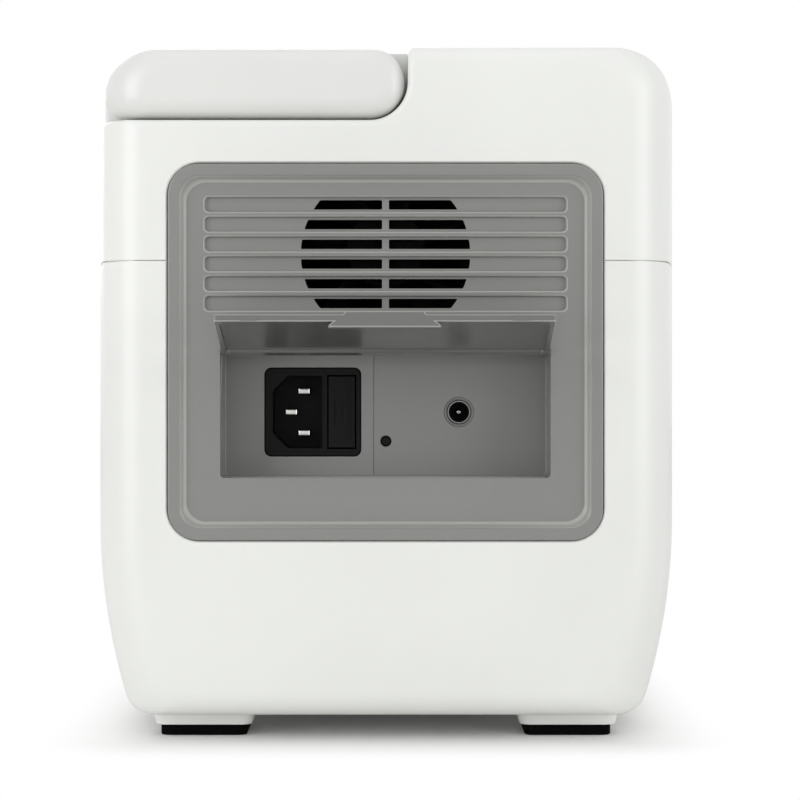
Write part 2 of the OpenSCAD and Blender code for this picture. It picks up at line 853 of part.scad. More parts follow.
// The lid's outline from the middle outwards, soft at its free end
module lid_half(inset) {
    r_top = lid_top_r - inset;
    r_low = lid_low_r - inset;
    w = body_w / 2 + spare - lid_end_gap - inset;
    top = lid_top_z + spare - inset;
    low = lid_bottom_z - spare + inset;
    step = w - max(r_top, r_low);
    translate([-far_side, low]) square([far_side + step, top - low]);
    translate([step, low + r_low]) square([w - step, top - low - r_top - r_low]);
    translate([w - r_top, top - r_top]) circle(r = r_top);
    translate([w - r_low, low + r_low]) circle(r = r_low);
    translate([step, low]) square([w - r_low - step, r_low]);
}

module lid_side_outline(inset = 0) {
    r = top_edge_r - inset;
    translate([0, axis_z])
        rounded_rect(body_d - 2 * lid_end_gap - 2 * inset, lid_t - 2 * inset, r);
}

module lid_solid(inset = 0) {
    intersection() {
        linear_extrude(body_h + 1) plan(inset + lid_end_gap);
        upright(-body_d, body_d) lid_outline(inset);
        bowed_side(1) lid_half(inset);
        sideways(-body_w, body_w) lid_side_outline(inset);
    }
}

module at_knuckles(r, extra) {
    for (s = [-1, 1]) translate([lid_axis_x, 0, axis_z])
        bar_y(r, s * knuckle_mid_y - knuckle_l / 2 - extra, s * knuckle_mid_y + knuckle_l / 2 + extra);
}

module lid_cover() {
    piece(white) difference() {
        lid_solid();
        difference() {
            lid_solid(lid_wall);
            at_knuckles(notch_r + lid_wall, knuckle_gap + pin_seat + 1.4);
        }
        at_knuckles(notch_r, knuckle_gap);
        at_knuckles(hinge_pin_r + hinge_clear, knuckle_gap + pin_seat + 0.3);
        block_at(block_x - window_w / 2, block_x + window_w / 2, -window_l / 2, window_l / 2,
                 lid_bottom_z - 1, lid_bottom_z + lid_wall + 1);
        for (s = [-1, 1]) translate([magnet_x, s * magnet_y, lid_bottom_z - 1])
            cylinder(r = magnet_r, h = 2 * lid_wall);
    }
}

// The frame in the lid's underside around the heated plate
module lid_liner() {
    piece(grey) difference() {
        union() {
            block_at(block_x - window_w / 2 + 0.2, block_x + window_w / 2 - 0.2,
                     -window_l / 2 + 0.2, window_l / 2 - 0.2, lid_bottom_z + 0.2, lid_bottom_z + lid_wall);
            intersection() {
                block_at(block_x - window_w / 2 - 2, block_x + window_w / 2 + 0.4,
                         -window_l / 2 - 3, window_l / 2 + 3,
                         lid_bottom_z + lid_wall, lid_bottom_z + lid_wall + 1.2);
                bowed_side(1) lid_half(lid_wall + 0.15);
            }
        }
        block_at(block_x - plate_w / 2 - plate_gap, block_x + plate_w / 2 + plate_gap,
                 -plate_l / 2 - plate_gap, plate_l / 2 + plate_gap, lid_bottom_z - 1, lid_bottom_z + 9);
    }
}

module lid_hinge_pins() {
    piece(steel) for (s = [-1, 1]) translate([lid_axis_x, 0, axis_z])
        bar_y(hinge_pin_r, s * knuckle_mid_y - pin_l / 2, s * knuckle_mid_y + pin_l / 2);
}

module at_guides(z) {
    for (sx = [-1, 1], sy = [-1, 1])
        translate([block_x + sx * guide_x, sy * guide_y, z]) children();
}

// Steel frame fixed in the lid, which the springs push against
module pressure_frame() {
    rail_l = window_l + 6;
    piece(steel) difference() {
        union() {
            for (sx = [-1, 1])
                block_at(block_x + sx * guide_x - 7, block_x + sx * guide_x + 7,
                         -rail_l / 2, rail_l / 2, frame_z, frame_z + frame_t);
            for (sy = [-1, 1])
                block_at(block_x - guide_x, block_x + guide_x, sy * (rail_l / 2 - 5) - 5,
                         sy * (rail_l / 2 - 5) + 5, frame_z, frame_z + frame_t);
            for (sx = [-1, 1], sy = [-1, 1])
                block_at(block_x + sx * guide_x - 4, block_x + sx * guide_x + 4,
                         sy * (window_l / 2 + 1.5) - 1.5, sy * (window_l / 2 + 1.5) + 1.5,
                         lid_bottom_z + lid_wall + 1.2, frame_z);
        }
        at_guides(frame_z - 1) cylinder(r = guide_r + 0.1, h = frame_t + 2);
    }
}

module heated_plate() {
    piece(alu) difference() {
        block_at(block_x - plate_w / 2, block_x + plate_w / 2, -plate_l / 2, plate_l / 2,
                 plate_z, plate_z + plate_t);
        at_guides(plate_z + 2) cylinder(r = guide_r, h = plate_t);
    }
}

module heater_mat() {
    piece([0.8, 0.45, 0.15]) difference() {
        block_at(block_x - plate_w / 2 + 2, block_x + plate_w / 2 - 2, -plate_l / 2 + 2,
                 plate_l / 2 - 2, plate_z + plate_t, plate_z + plate_t + mat_t);
        at_guides(plate_z + plate_t - 1) cylinder(r = guide_r + 0.3, h = mat_t + 2);
    }
}

module plate_screws() {
    piece(steel) at_guides(plate_z + 2) {
        cylinder(r = guide_r, h = frame_z + frame_t - plate_z - 2 + 0.4);
        translate([0, 0, frame_z + frame_t - plate_z - 2 + 0.05]) cylinder(r = guide_r + 1.6, h = 1.8);
    }
}

function spring_point(r, a, rise, turns) = [r * cos(a), r * sin(a), rise * a / (360 * turns)];

// A helical compression spring on the Z axis
module spring(r, wire, height, turns) {
    sides = 6;
    steps = 14 * turns;
    rise = height - 2 * wire;
    points = [for (i = [0:steps], k = [0:sides - 1])
        let (a = 360 * turns * i / steps,
             p = spring_point(r, a, rise, turns),
             q = 360 * k / sides)
        [p[0] + wire * cos(q) * cos(a), p[1] + wire * cos(q) * sin(a), p[2] + wire + wire * sin(q)]];
    sides_faces = [for (i = [0:steps - 1], k = [0:sides - 1])
        let (n = (k + 1) % sides)
        [i * sides + k, (i + 1) * sides + k, (i + 1) * sides + n, i * sides + n]];
    first = [for (k = [0:sides - 1]) k];
    last = [for (k = [sides - 1:-1:0]) steps * sides + k];
    polyhedron(points, concat(sides_faces, [first, last]));
}

module plate_springs() {
    wire = 0.35;
    piece(steel) at_guides(plate_z + plate_t + mat_t + 0.02)
        spring(guide_r + 1.6, wire, spring_h - 0.04, 3);
}

module lid_magnets() {
    piece(steel) for (s = [-1, 1]) translate([magnet_x, s * magnet_y, lid_bottom_z + 0.2])
        cylinder(r = magnet_r, h = magnet_t);
}

module keeper_plates() {
    piece(steel) for (s = [-1, 1]) translate([magnet_x, s * magnet_y, ledge_z - 1.2])
        cylinder(r = magnet_r, h = 1.1);
}

// ---- Sample block and cooling ----

module sample_block() {
    piece(alu) difference() {
        block_at(block_x - block_w / 2, block_x + block_w / 2, -block_l / 2, block_l / 2,
                 block_low_z, block_top_z);
        for (i = [0:well_rows - 1], j = [0:well_columns - 1])
            translate([block_x + (i - (well_rows - 1) / 2) * well_pitch,
                       (j - (well_columns - 1) / 2) * well_pitch, block_top_z - well_depth])
                cylinder(r1 = well_floor_r, r2 = well_r, h = well_depth);
    }
}

module block_surround() {
    outer_w = opening_w - 0.4;
    outer_l = opening_l - 0.4;
    low_z = ledge_z - wall - lip_t;
    piece(grey) difference() {
        union() {
            block_at(block_x - outer_w / 2, block_x + outer_w / 2, -outer_l / 2, outer_l / 2,
                     low_z, ledge_z);
            block_at(block_x - opening_w / 2 - lip_w, block_x + opening_w / 2 + lip_w,
                     -opening_l / 2 - lip_w, opening_l / 2 + lip_w, low_z, low_z + lip_t);
        }
        block_at(block_x - block_w / 2 - surround_gap, block_x + block_w / 2 + surround_gap,
                 -block_l / 2 - surround_gap, block_l / 2 + surround_gap, low_z - 1, ledge_z + 1);
    }
}

module peltier_modules() {
    side = 35;
    piece([0.92, 0.92, 0.9]) for (sx = [-0.5, 0.5], sy = [-1:1])
        translate([block_x + sx * (side + 1), sy * (side + 1.5), sink_top_z + peltier_t / 2])
            cube([side, side, peltier_t], center = true);
}

module at_block_screws(z) {
    for (sx = [-1, 1], sy = [-1, 1])
        translate([block_x + sx * (block_w / 2 - 6), sy * (block_l / 2 + 4), z]) children();
}

// Screws and clamp bars that pull the block down on the heat sink
module block_screws() {
    piece(steel) at_block_screws(sink_top_z) {
        cylinder(r = screw_r, h = block_h - 6);
        translate([0, 0, block_h - 8]) cylinder(r = screw_head_r, h = 2);
        translate([0, 0, -5]) cylinder(r = screw_r, h = 6);
    }
}

module heat_sink() {
    pitch = (sink_w - 8 - fin_t) / (fin_count - 1);
    piece(alu) difference() {
        union() {
            block_at(block_x - sink_w / 2, block_x + sink_w / 2, -sink_l / 2, sink_l / 2,
                     sink_base_z, sink_top_z);
            for (i = [0:fin_count - 1]) {
                x = block_x - sink_w / 2 + 4 + i * pitch;
                block_at(x, x + fin_t, -fin_l / 2, fin_l / 2, fin_low_z, sink_base_z + 1);
            }
        }
        at_block_screws(sink_top_z - 5) cylinder(r = screw_r, h = 10);
    }
}

// A sheet upright with a window at fin height, a foot, and a shelf for the heat sink
module sink_cradle(s) {
    y0 = s > 0 ? cradle_y : -cradle_y - cradle_t;
    shelf_y = s > 0 ? cradle_y : -cradle_y - cradle_flange;
    foot_y = s > 0 ? cradle_y : -cradle_y - 12;
    x0 = block_x - sink_w / 2 + 4;
    x1 = block_x + sink_w / 2 - 14;
    piece(steel) {
        difference() {
            block_at(x0, x1, y0, y0 + cradle_t, floor_z, sink_base_z);
            block_at(x0 + 6, x1 - 6, y0 - 1, y0 + cradle_t + 1, fin_low_z, sink_base_z - 3);
        }
        block_at(x0, x1, shelf_y, shelf_y + cradle_flange, sink_base_z - cradle_t, sink_base_z);
        block_at(x0, x1, foot_y, foot_y + 12, floor_z, floor_z + cradle_t);
    }
}

module duct_end(x, z, w, h, y0, y1) {
    block_at(x - w / 2, x + w / 2, y0, y1, z - h / 2, z + h / 2);
}

// The duct from the fins to the fan, with a straight collar over the fan's screws
module air_duct() {
    y0 = cradle_y + cradle_t + cradle_flange;
    y1 = field_back_y - fan_depth;
    z0 = (fin_low_z + sink_base_z - 3) / 2;
    w0 = sink_w - 30;
    h0 = sink_base_z - 3 - fin_low_z;
    skin = 1.2;
    collar = 3.2;
    fan_in = fan_size - 1.2 - 2 * skin;
    piece(dark) difference() {
        hull() {
            duct_end(block_x - 2, z0, w0 + 2 * skin, h0 + 2 * skin, y0, y0 + eps);
            duct_end(0, fan_z, fan_in + 2 * skin, fan_in + 2 * skin, y1 - collar, y1);
        }
        hull() {
            duct_end(block_x - 2, z0, w0, h0, y0 - 0.5, y0 - 0.4);
            duct_end(0, fan_z, fan_in, fan_in, y1 - collar + 0.4, y1 + 0.5);
        }
    }
}

module at_fan() {
    translate([0, field_back_y, fan_z]) children();
}

module fan_frame() {
    hub_r = 13;
    piece(dark) at_fan() difference() {
        upright(-fan_depth, 0) rounded_rect(fan_size, fan_size, 3);
        difference() {
            bar_y(fan_duct_r, -fan_depth - 1, 1);
            bar_y(hub_r, -fan_depth, -fan_depth + 3);
            for (a = [0:90:270]) rotate([0, a + 20, 0])
                block_at(0, fan_duct_r + 1, -fan_depth, -fan_depth + 2, -1.5, 1.5);
        }
        bar_y(fan_shaft_r + 0.06, -fan_depth + 0.5, 0);
        for (sx = [-1, 1], sz = [-1, 1])
            translate([sx * fan_hole, 0, sz * fan_hole])
                bar_y(screw_r, -fan_depth - 1, 1);
    }
}

module fan_rotor() {
    hub_r = 12.5;
    tip_r = fan_duct_r - 0.8;
    blades = 7;
    piece(dark) at_fan() {
        bar_y(hub_r, -fan_depth + 3.5, -1.5);
        bar_y(fan_shaft_r, -fan_depth + 0.8, -fan_depth + 4);
        for (i = [0:blades - 1]) rotate([0, i * 360 / blades, 0])
            intersection() {
                bar_y(tip_r, -fan_depth + 3, -1);
                translate([hub_r - 1, -fan_depth / 2 + 1, 0]) rotate([38, 0, 0])
                    block_at(0, tip_r, -6, 6, -0.7, 0.7);
            }
    }
}

module fan_screws() {
    piece(steel) at_fan() for (sx = [-1, 1], sz = [-1, 1])
        translate([sx * fan_hole, 0, sz * fan_hole]) {
            bar_y(screw_r, -fan_depth - 0.5, fan_bite);
            bar_y(screw_head_r - 0.3, -fan_depth - 2, -fan_depth);
        }
}

// ---- Electronics ----

module board_bracket() {
    piece(steel) {
        block_at(bracket_x - bracket_t, bracket_x, -board_l / 2 - 4, board_l / 2 - 4,
                 floor_z, board_z + board_h + 4);
        block_at(bracket_x - 12, bracket_x, -board_l / 2 - 4, board_l / 2 - 4,
                 floor_z, floor_z + bracket_t);
    }
}

module board_spacers() {
    piece(steel) for (y = [-board_l / 2 + 4, board_l / 2 - 12], z = [board_z + 6, board_z + board_h - 6])
        translate([board_x, y, z]) rotate([0, 90, 0])
            cylinder(r = 2.5, h = bracket_x - bracket_t - board_x);
}

module main_board() {
    piece(green) block_at(board_x - board_t, board_x, -board_l / 2, board_l / 2 - 8,
                          board_z, board_z + board_h);
}

module board_parts() {
    face = board_x - board_t;
    piece(dark) {
        block_at(face - 2.4, face, -20, 8, board_z + 50, board_z + 78);
        block_at(face - 12, face, 40, 60, board_z + 20, board_z + 44);
        block_at(face - 9, face, -60, -52, board_z + 10, board_z + 60);
        for (i = [0:4]) translate([face, -40 + i * 14, board_z + 20]) rotate([0, -90, 0])
            cylinder(r = 5, h = 14);
        for (i = [0:3])
            block_at(face - 4, face, -58 + i * 12, -50 + i * 12, board_z + 86, board_z + 98);
    }
}

module supply_spacers() {
    piece(steel) for (sx = [-1, 1], sy = [-1, 1])
        translate([supply_x + sx * (supply_w / 2 - 5), sy * (supply_l / 2 - 6), floor_z])
            cylinder(r = 3, h = spacer_h);
}

module supply_chassis() {
    z0 = floor_z + spacer_h;
    piece(alu) difference() {
        block_at(supply_x - supply_w / 2, supply_x + supply_w / 2, -supply_l / 2, supply_l / 2,
                 z0, z0 + supply_h);
        block_at(supply_x - supply_w / 2 + 1.5, supply_x + supply_w / 2 - 1.5, -supply_l,
                 supply_l, z0 + 1.5, z0 + supply_h + 1);
    }
}

module supply_parts() {
    z0 = floor_z + spacer_h + 1.5;
    piece([0.75, 0.7, 0.3]) {
        block_at(supply_x - 18, supply_x + 18, -supply_l / 2 + 2, supply_l / 2 - 2, z0, z0 + 2);
        block_at(supply_x - 14, supply_x + 14, -14, 16, z0 + 2, z0 + 26);
        for (s = [-1, 1]) translate([supply_x + s * 8, 34, z0 + 2]) cylinder(r = 7, h = 24);
        block_at(supply_x - 12, supply_x + 12, -50, -28, z0 + 2, z0 + 18);
    }
}

lower_case();
upper_case();
hinge_knuckles();
rubber_feet();
foot_screws();
rear_panel();
panel_screws();
bay_flap();
mains_inlet();
inlet_blades();
fuse_drawer();
fuse();
jack_body();
jack_sleeve();
jack_pin();
reset_button();
front_bezel();
display_glass();
display_panel();
display_board();
power_button();
power_switch();
usb_socket();
lid_cover();
lid_liner();
lid_hinge_pins();
pressure_frame();
heated_plate();
heater_mat();
plate_screws();
plate_springs();
lid_magnets();
keeper_plates();
sample_block();
block_surround();
peltier_modules();
block_screws();
heat_sink();
sink_cradle(-1);  // sink_cradle_front
sink_cradle(1);  // sink_cradle_rear
air_duct();
fan_frame();
fan_rotor();
fan_screws();
board_bracket();
main_board();
board_parts();
board_spacers();
supply_chassis();
supply_parts();
supply_spacers();
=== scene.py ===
"""A compact bench-top thermal cycler, seen from behind with its bay flap open."""

import json
import math

import bmesh
import bpy
from mathutils import Matrix, Vector


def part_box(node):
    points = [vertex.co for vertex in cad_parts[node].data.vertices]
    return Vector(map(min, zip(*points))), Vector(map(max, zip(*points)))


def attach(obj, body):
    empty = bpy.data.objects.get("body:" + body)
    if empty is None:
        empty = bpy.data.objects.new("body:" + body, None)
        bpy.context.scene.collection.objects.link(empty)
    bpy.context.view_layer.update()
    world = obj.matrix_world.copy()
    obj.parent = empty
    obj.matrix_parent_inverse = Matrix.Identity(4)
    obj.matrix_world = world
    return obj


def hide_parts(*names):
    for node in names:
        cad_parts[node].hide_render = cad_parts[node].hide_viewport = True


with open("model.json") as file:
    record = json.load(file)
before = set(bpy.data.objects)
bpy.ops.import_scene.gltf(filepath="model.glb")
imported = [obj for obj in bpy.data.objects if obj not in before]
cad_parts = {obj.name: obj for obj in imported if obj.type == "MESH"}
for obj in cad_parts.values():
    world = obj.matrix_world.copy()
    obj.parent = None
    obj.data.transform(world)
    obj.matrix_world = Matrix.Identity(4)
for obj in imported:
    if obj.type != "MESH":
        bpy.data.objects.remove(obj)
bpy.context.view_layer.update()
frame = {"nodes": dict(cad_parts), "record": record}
nodes = frame["nodes"]
MM = 0.001

# ---------------------------------------------------------------------------
# Camera, floor and light. The machine stands on a plain pale sweep. The camera
# looks squarely at its rear panel from about arm's length.
# ---------------------------------------------------------------------------
case_low, case_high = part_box("lower_case")
REAR_Y = case_high.y
MID_Y = (case_low.y + case_high.y) / 2
HALF_D = (case_high.y - case_low.y) / 2
CAMERA_DISTANCE = 0.800
EYE_HEIGHT = 0.1105
EYE_X = -0.0047

camera_data = bpy.data.cameras.new("view_camera")
camera_data.sensor_width = 36
camera_data.lens = 111.6
camera = bpy.data.objects.new("view_camera", camera_data)
camera.location = (EYE_X, REAR_Y + CAMERA_DISTANCE, EYE_HEIGHT)
camera.rotation_euler = (math.pi / 2, 0, math.pi)
bpy.context.scene.collection.objects.link(camera)
bpy.context.scene.camera = camera
bpy.context.scene.view_settings.view_transform = "Standard"


def new_material(name):
    """An empty node material with its output, ready for a shader."""
    material = bpy.data.materials.new(name)
    material.use_nodes = True
    tree = material.node_tree
    tree.nodes.clear()
    return material, tree, tree.nodes.new("ShaderNodeOutputMaterial")


def add_node(tree, kind, **values):
    """A shader node of one kind, with the values of its inputs; _ stands for a space."""
    node = tree.nodes.new("ShaderNode" + kind)
    for socket, value in values.items():
        node.inputs[socket.replace("_", " ")].default_value = value
    return node


def wire(tree, *pairs):
    """Links each socket to the input beside it."""
    for socket, target in pairs:
        tree.links.new(socket, target)


def math_node(tree, operation, first, second=None):
    """A Math node fed by a socket and by a second socket or a number."""
    node = add_node(tree, "Math")
    node.operation = operation
    node.use_clamp = operation == "ADD"
    tree.links.new(first, node.inputs[0])
    if isinstance(second, (int, float)):
        node.inputs[1].default_value = second
    elif second is not None:
        tree.links.new(second, node.inputs[1])
    return node.outputs[0]


def seen_rays(tree):
    """1 for rays that show the backdrop itself: camera, glossy and transmission."""
    path = add_node(tree, "LightPath")
    both = math_node(tree, "ADD", path.outputs["Is Camera Ray"], path.outputs["Is Glossy Ray"])
    return math_node(tree, "ADD", both, path.outputs["Is Transmission Ray"])


world = bpy.data.worlds.new("studio")
world.use_nodes = True
bpy.context.scene.world = world
sky = world.node_tree
sky.nodes.clear()
sky_out = add_node(sky, "OutputWorld")
sky_mix = add_node(sky, "MixShader")
for socket, strength in ((1, 0.66), (2, 1.0)):
    glow = add_node(sky, "Background", Color=(1, 1, 1, 1), Strength=strength)
    sky.links.new(glow.outputs[0], sky_mix.inputs[socket])
wire(sky, (seen_rays(sky), sky_mix.inputs[0]), (sky_mix.outputs[0], sky_out.inputs[0]))

floor_material, tree, out = new_material("pale_sweep")
coords = add_node(tree, "TexCoord")


def vector_node(tree, operation, first, second=(0, 0, 0)):
    """A Vector Math node fed by a socket and by a fixed vector."""
    node = add_node(tree, "VectorMath")
    node.operation = operation
    node.inputs[1].default_value = second
    tree.links.new(first, node.inputs[0])
    return node.outputs["Value" if operation == "LENGTH" else 0]


# Distance from the rectangle that the feet stand on, and so from the contact shadow.
beside = vector_node(tree, "ABSOLUTE", coords.outputs["Object"])
beside = vector_node(tree, "SUBTRACT", beside, (0.070, 0.100, 0))
beside = vector_node(tree, "LENGTH", vector_node(tree, "MAXIMUM", beside))
fade = add_node(tree, "MapRange", From_Min=-0.006, From_Max=0.045)
fade.interpolation_type = "SMOOTHSTEP"
tree.links.new(beside, fade.inputs["Value"])
path = add_node(tree, "LightPath")
share = math_node(tree, "MULTIPLY", fade.outputs[0], path.outputs["Is Camera Ray"])
paper = add_node(tree, "BsdfDiffuse", Color=(0.9, 0.9, 0.89, 1))
white = add_node(tree, "Emission", Strength=1.0)
mix = add_node(tree, "MixShader")
wire(tree, (share, mix.inputs[0]), (paper.outputs[0], mix.inputs[1]),
     (white.outputs[0], mix.inputs[2]), (mix.outputs[0], out.inputs[0]))

floor_mesh = bpy.data.meshes.new("floor")
bm = bmesh.new()
bmesh.ops.create_grid(bm, x_segments=2, y_segments=2, size=8)
bm.to_mesh(floor_mesh)
bm.free()
floor_mesh.materials.append(floor_material)
floor = bpy.data.objects.new("floor", floor_mesh)
bpy.context.scene.collection.objects.link(floor)


def soft_lamp(name, place, size, power):
    """A square soft box aimed at the middle of the machine."""
    data = bpy.data.lights.new(name, "AREA")
    data.size = size
    data.energy = power
    lamp = bpy.data.objects.new(name, data)
    lamp.location = place
    aim = Vector((0, 0, 0.11)) - Vector(place)
    lamp.rotation_euler = aim.to_track_quat("-Z", "Y").to_euler()
    bpy.context.scene.collection.objects.link(lamp)


for lamp in (("key_box", (1.25, 1.25, 0.45), 1.0, 9.2), ("fill_box", (-1.4, 1.15, 0.45), 1.0, 8),
             ("top_box", (0.0, 0.1, 1.7), 1.4, 2.5), ("front_box", (0.6, -1.6, 0.9), 1.4, 6.5)):
    soft_lamp(*lamp)

# ---------------------------------------------------------------------------
# Lower case. A one-piece white moulding with bowed sides that draw in towards
# the bench, an open top edge and a rounded opening in each end for a panel.
# ---------------------------------------------------------------------------
BODY_W = case_high.x - case_low.x
SEAM_Z = case_high.z
CASE_BOTTOM_Z = 8 * MM
WALL = 2.6 * MM
BOW_R = 700 * MM
CORNER_R = 13 * MM
BOTTOM_R = 8 * MM
TUCK_Z = 70 * MM
TUCK_R = 200 * MM
SEAM_EASE, SEAM_GAP = 0.3 * MM, 0.35 * MM


def skin(tree, out, shader, texture, smoothest, roughest, relief, depth):
    """Gives a shader a roughness and a fine relief that both follow one texture."""
    rough = add_node(tree, "MapRange", To_Min=smoothest, To_Max=roughest)
    bump = add_node(tree, "Bump", Strength=relief, Distance=depth * MM)
    wire(tree, (texture.outputs["Fac"], rough.inputs["Value"]),
         (rough.outputs["Result"], shader.inputs["Roughness"]),
         (texture.outputs["Fac"], bump.inputs["Height"]),
         (bump.outputs["Normal"], shader.inputs["Normal"]), (shader.outputs[0], out.inputs[0]))


def plastic(name, colour, roughness=0.42, grain=900, depth=0.02, drift=0.03, coat=0.0,
            shine=0.5, sheen=0.0):
    """Moulded plastic: a fine spark-eroded grain and a faint drift of tone."""
    material, tree, out = new_material(name)
    shader = add_node(tree, "BsdfPrincipled", Specular_IOR_Level=shine, Coat_Weight=coat,
                      Coat_Roughness=0.25, Sheen_Weight=sheen, Sheen_Roughness=0.35)
    coords = add_node(tree, "TexCoord")
    cloud = add_node(tree, "TexNoise", Scale=9, Detail=4)
    ramp = add_node(tree, "ValToRGB")
    for end, place, share in zip(ramp.color_ramp.elements, (0.35, 0.65), (1 - drift, 1 + drift)):
        end.position = place
        end.color = (*[min(1, c * share) for c in colour], 1)
    texture = add_node(tree, "TexNoise", Scale=grain, Detail=3)
    wire(tree, (coords.outputs["Object"], cloud.inputs["Vector"]),
         (coords.outputs["Object"], texture.inputs["Vector"]),
         (cloud.outputs["Fac"], ramp.inputs["Fac"]),
         (ramp.outputs["Color"], shader.inputs["Base Color"]))
    skin(tree, out, shader, texture, roughness - 0.05, roughness + 0.05, 0.35, depth)
    return material


def eased_depth(radius, distance):
    """How far a rounded end has drawn in, at a distance from that end."""
    r = abs(radius)
    distance = max(0.0, distance)
    if r == 0 or distance >= r:
        return 0.0
    return math.copysign(r - math.sqrt(r * r - (r - distance) ** 2), radius)


def bow(y):
    """How far the bowed side has drawn in at a place along the case."""
    return BOW_R - math.sqrt(BOW_R ** 2 - (y - MID_Y) ** 2)


def arc(cx, cz, r, start, end, steps, pull):
    """Points of a rounded edge. pull is how far the edge shifts at an eased end,
    in X and in Z, or one number to shrink a round towards its centre."""
    points = []
    for i in range(steps + 1):
        a = math.radians(start + (end - start) * i / steps)
        c, s = math.cos(a), math.sin(a)
        px, pz = pull if isinstance(pull, tuple) else (-pull * c, -pull * s)
        points.append((cx + r * c, cz + r * s, px, pz))
    return points


END_STEPS = (0.15, 0.45, 0.9, 1.5, 2.2, 3.2, 4.4, 6, 8, 10.2, 13)


def points_of(grown):
    """The vertices among what an operator made."""
    return [v for v in grown if isinstance(v, bmesh.types.BMVert)]


def face_of(grown):
    """The first face among what an operator made."""
    return next(f for f in grown if isinstance(f, bmesh.types.BMFace))


def long_moulding(outline, low_y, high_y):
    """Extrudes an outline along the case, bows its outer sides and rounds its ends."""
    bm = bmesh.new()
    across, upward = bm.verts.layers.float.new("across"), bm.verts.layers.float.new("upward")
    ring = []
    for x, z, pull_x, pull_z in outline:
        vert = bm.verts.new((x, low_y, z))
        vert[across], vert[upward] = pull_x, pull_z
        ring.append(vert)
    face = bm.faces.new(ring)
    grown = bmesh.ops.extrude_face_region(bm, geom=[face])["geom"]
    far = points_of(grown)
    bmesh.ops.translate(bm, vec=(0, high_y - low_y, 0), verts=far)
    stations = [low_y + s * MM for s in END_STEPS] + [high_y - s * MM for s in END_STEPS]
    inner = int((high_y - low_y) / (12 * MM))
    stations += [low_y + (high_y - low_y) * i / inner for i in range(2, inner - 1)]
    for y in stations:
        everything = bm.verts[:] + bm.edges[:] + bm.faces[:]
        bmesh.ops.bisect_plane(bm, geom=everything, plane_co=(0, y, 0), plane_no=(0, 1, 0))
    for v in bm.verts:
        end = min(v.co.y - low_y, high_y - v.co.y)
        side = bow(v.co.y) if abs(v.co.x) > 60 * MM else 0.0
        v.co.x += eased_depth(v[across], end) - math.copysign(side, v.co.x)
        v.co.z += eased_depth(v[upward], end)
    bmesh.ops.recalc_face_normals(bm, faces=bm.faces)
    return bm


def settle(name, bm, body, material, smooth=35):
    """Makes a piece from a finished bmesh and hangs it on its CAD body."""
    mesh = bpy.data.meshes.new(name)
    bm.to_mesh(mesh)
    bm.free()
    mesh.materials.append(material)
    mesh.polygons.foreach_set("use_smooth", [True] * len(mesh.polygons))
    mesh.set_sharp_from_angle(angle=math.radians(smooth))
    piece = bpy.data.objects.new(name, mesh)
    bpy.context.scene.collection.objects.link(piece)
    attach(piece, body)
    return piece


def stand_in(piece, node):
    """Keeps a piece's broad faces flat beside its rounded edges, and puts it in the
    place of the CAD node it shows."""
    normals = piece.modifiers.new("weighted", "WEIGHTED_NORMAL")
    normals.keep_sharp = True
    normals.weight = 80
    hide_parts(node)


def scratch(bm):
    """A temporary object for a cut, removed once it is made."""
    mesh = bpy.data.meshes.new("scratch")
    bmesh.ops.recalc_face_normals(bm, faces=bm.faces)
    bm.to_mesh(mesh)
    bm.free()
    tool = bpy.data.objects.new("scratch", mesh)
    bpy.context.scene.collection.objects.link(tool)
    return tool


def carved(bm, *cuts, join=()):
    """The solid with others joined to it and then cut away, as a new bmesh."""
    body = scratch(bm)
    tools = [(scratch(j), "UNION") for j in join] + [(scratch(c), "DIFFERENCE") for c in cuts]
    for tool, operation in tools:
        step = body.modifiers.new("cut", "BOOLEAN")
        step.object = tool
        step.operation = operation
        step.solver = "EXACT"
    bpy.context.view_layer.update()
    result = bmesh.new()
    graph = bpy.context.evaluated_depsgraph_get()
    result.from_mesh(body.evaluated_get(graph).to_mesh())
    for o in [body] + [tool for tool, _ in tools]:
        bpy.data.meshes.remove(o.data)
    bmesh.ops.remove_doubles(result, verts=result.verts, dist=2e-6)
    bmesh.ops.dissolve_degenerate(result, edges=result.edges, dist=1e-6)
    return result


def round_plate(width, height, radius, steps=8):
    """A flat rectangle with rounded corners in X and Z, about the origin, facing +Y."""
    bm = bmesh.new()
    w, h = width / 2, height / 2
    corners = [bm.verts.new((x, 0, z)) for x, z in ((-w, -h), (-w, h), (w, h), (w, -h))]
    bm.faces.new(corners)
    bmesh.ops.bevel(bm, geom=bm.verts[:], offset=radius, segments=steps, profile=0.5,
                    affect="VERTICES", material=-1)
    face = bm.faces[:][0]
    face.normal_update()
    if face.normal.y < 0:
        bmesh.ops.reverse_faces(bm, faces=[face])
    return bm


def raise_face(bm, face, depth):
    """Extrudes a face along Y, leaving no face behind, and returns the moved face."""
    grown = bmesh.ops.extrude_face_region(bm, geom=[face])["geom"]
    bmesh.ops.translate(bm, vec=(0, depth, 0), verts=points_of(grown))
    moved = face_of(grown)
    if face.is_valid and moved is not face:
        bmesh.ops.delete(bm, geom=[face], context="FACES_ONLY")
    return moved


def closed(bm, centre=(0, 0, 0)):
    """The solid with its seams merged and its faces turned outwards, moved by centre."""
    bmesh.ops.remove_doubles(bm, verts=bm.verts, dist=1e-7)
    bmesh.ops.recalc_face_normals(bm, faces=bm.faces)
    bmesh.ops.translate(bm, vec=centre, verts=bm.verts)
    return bm


def round_edges(bm, chosen, offset, segments=2):
    """Rounds the chosen edges of a bmesh and returns the new faces."""
    return bmesh.ops.bevel(bm, geom=chosen, offset=offset, segments=segments, profile=0.5,
                           affect="EDGES", material=-1)["faces"]


def edges_where(bm, test):
    """The edges of a bmesh whose two ends both pass a test of their place."""
    return [e for e in bm.edges if all(test(v.co) for v in e.verts)]


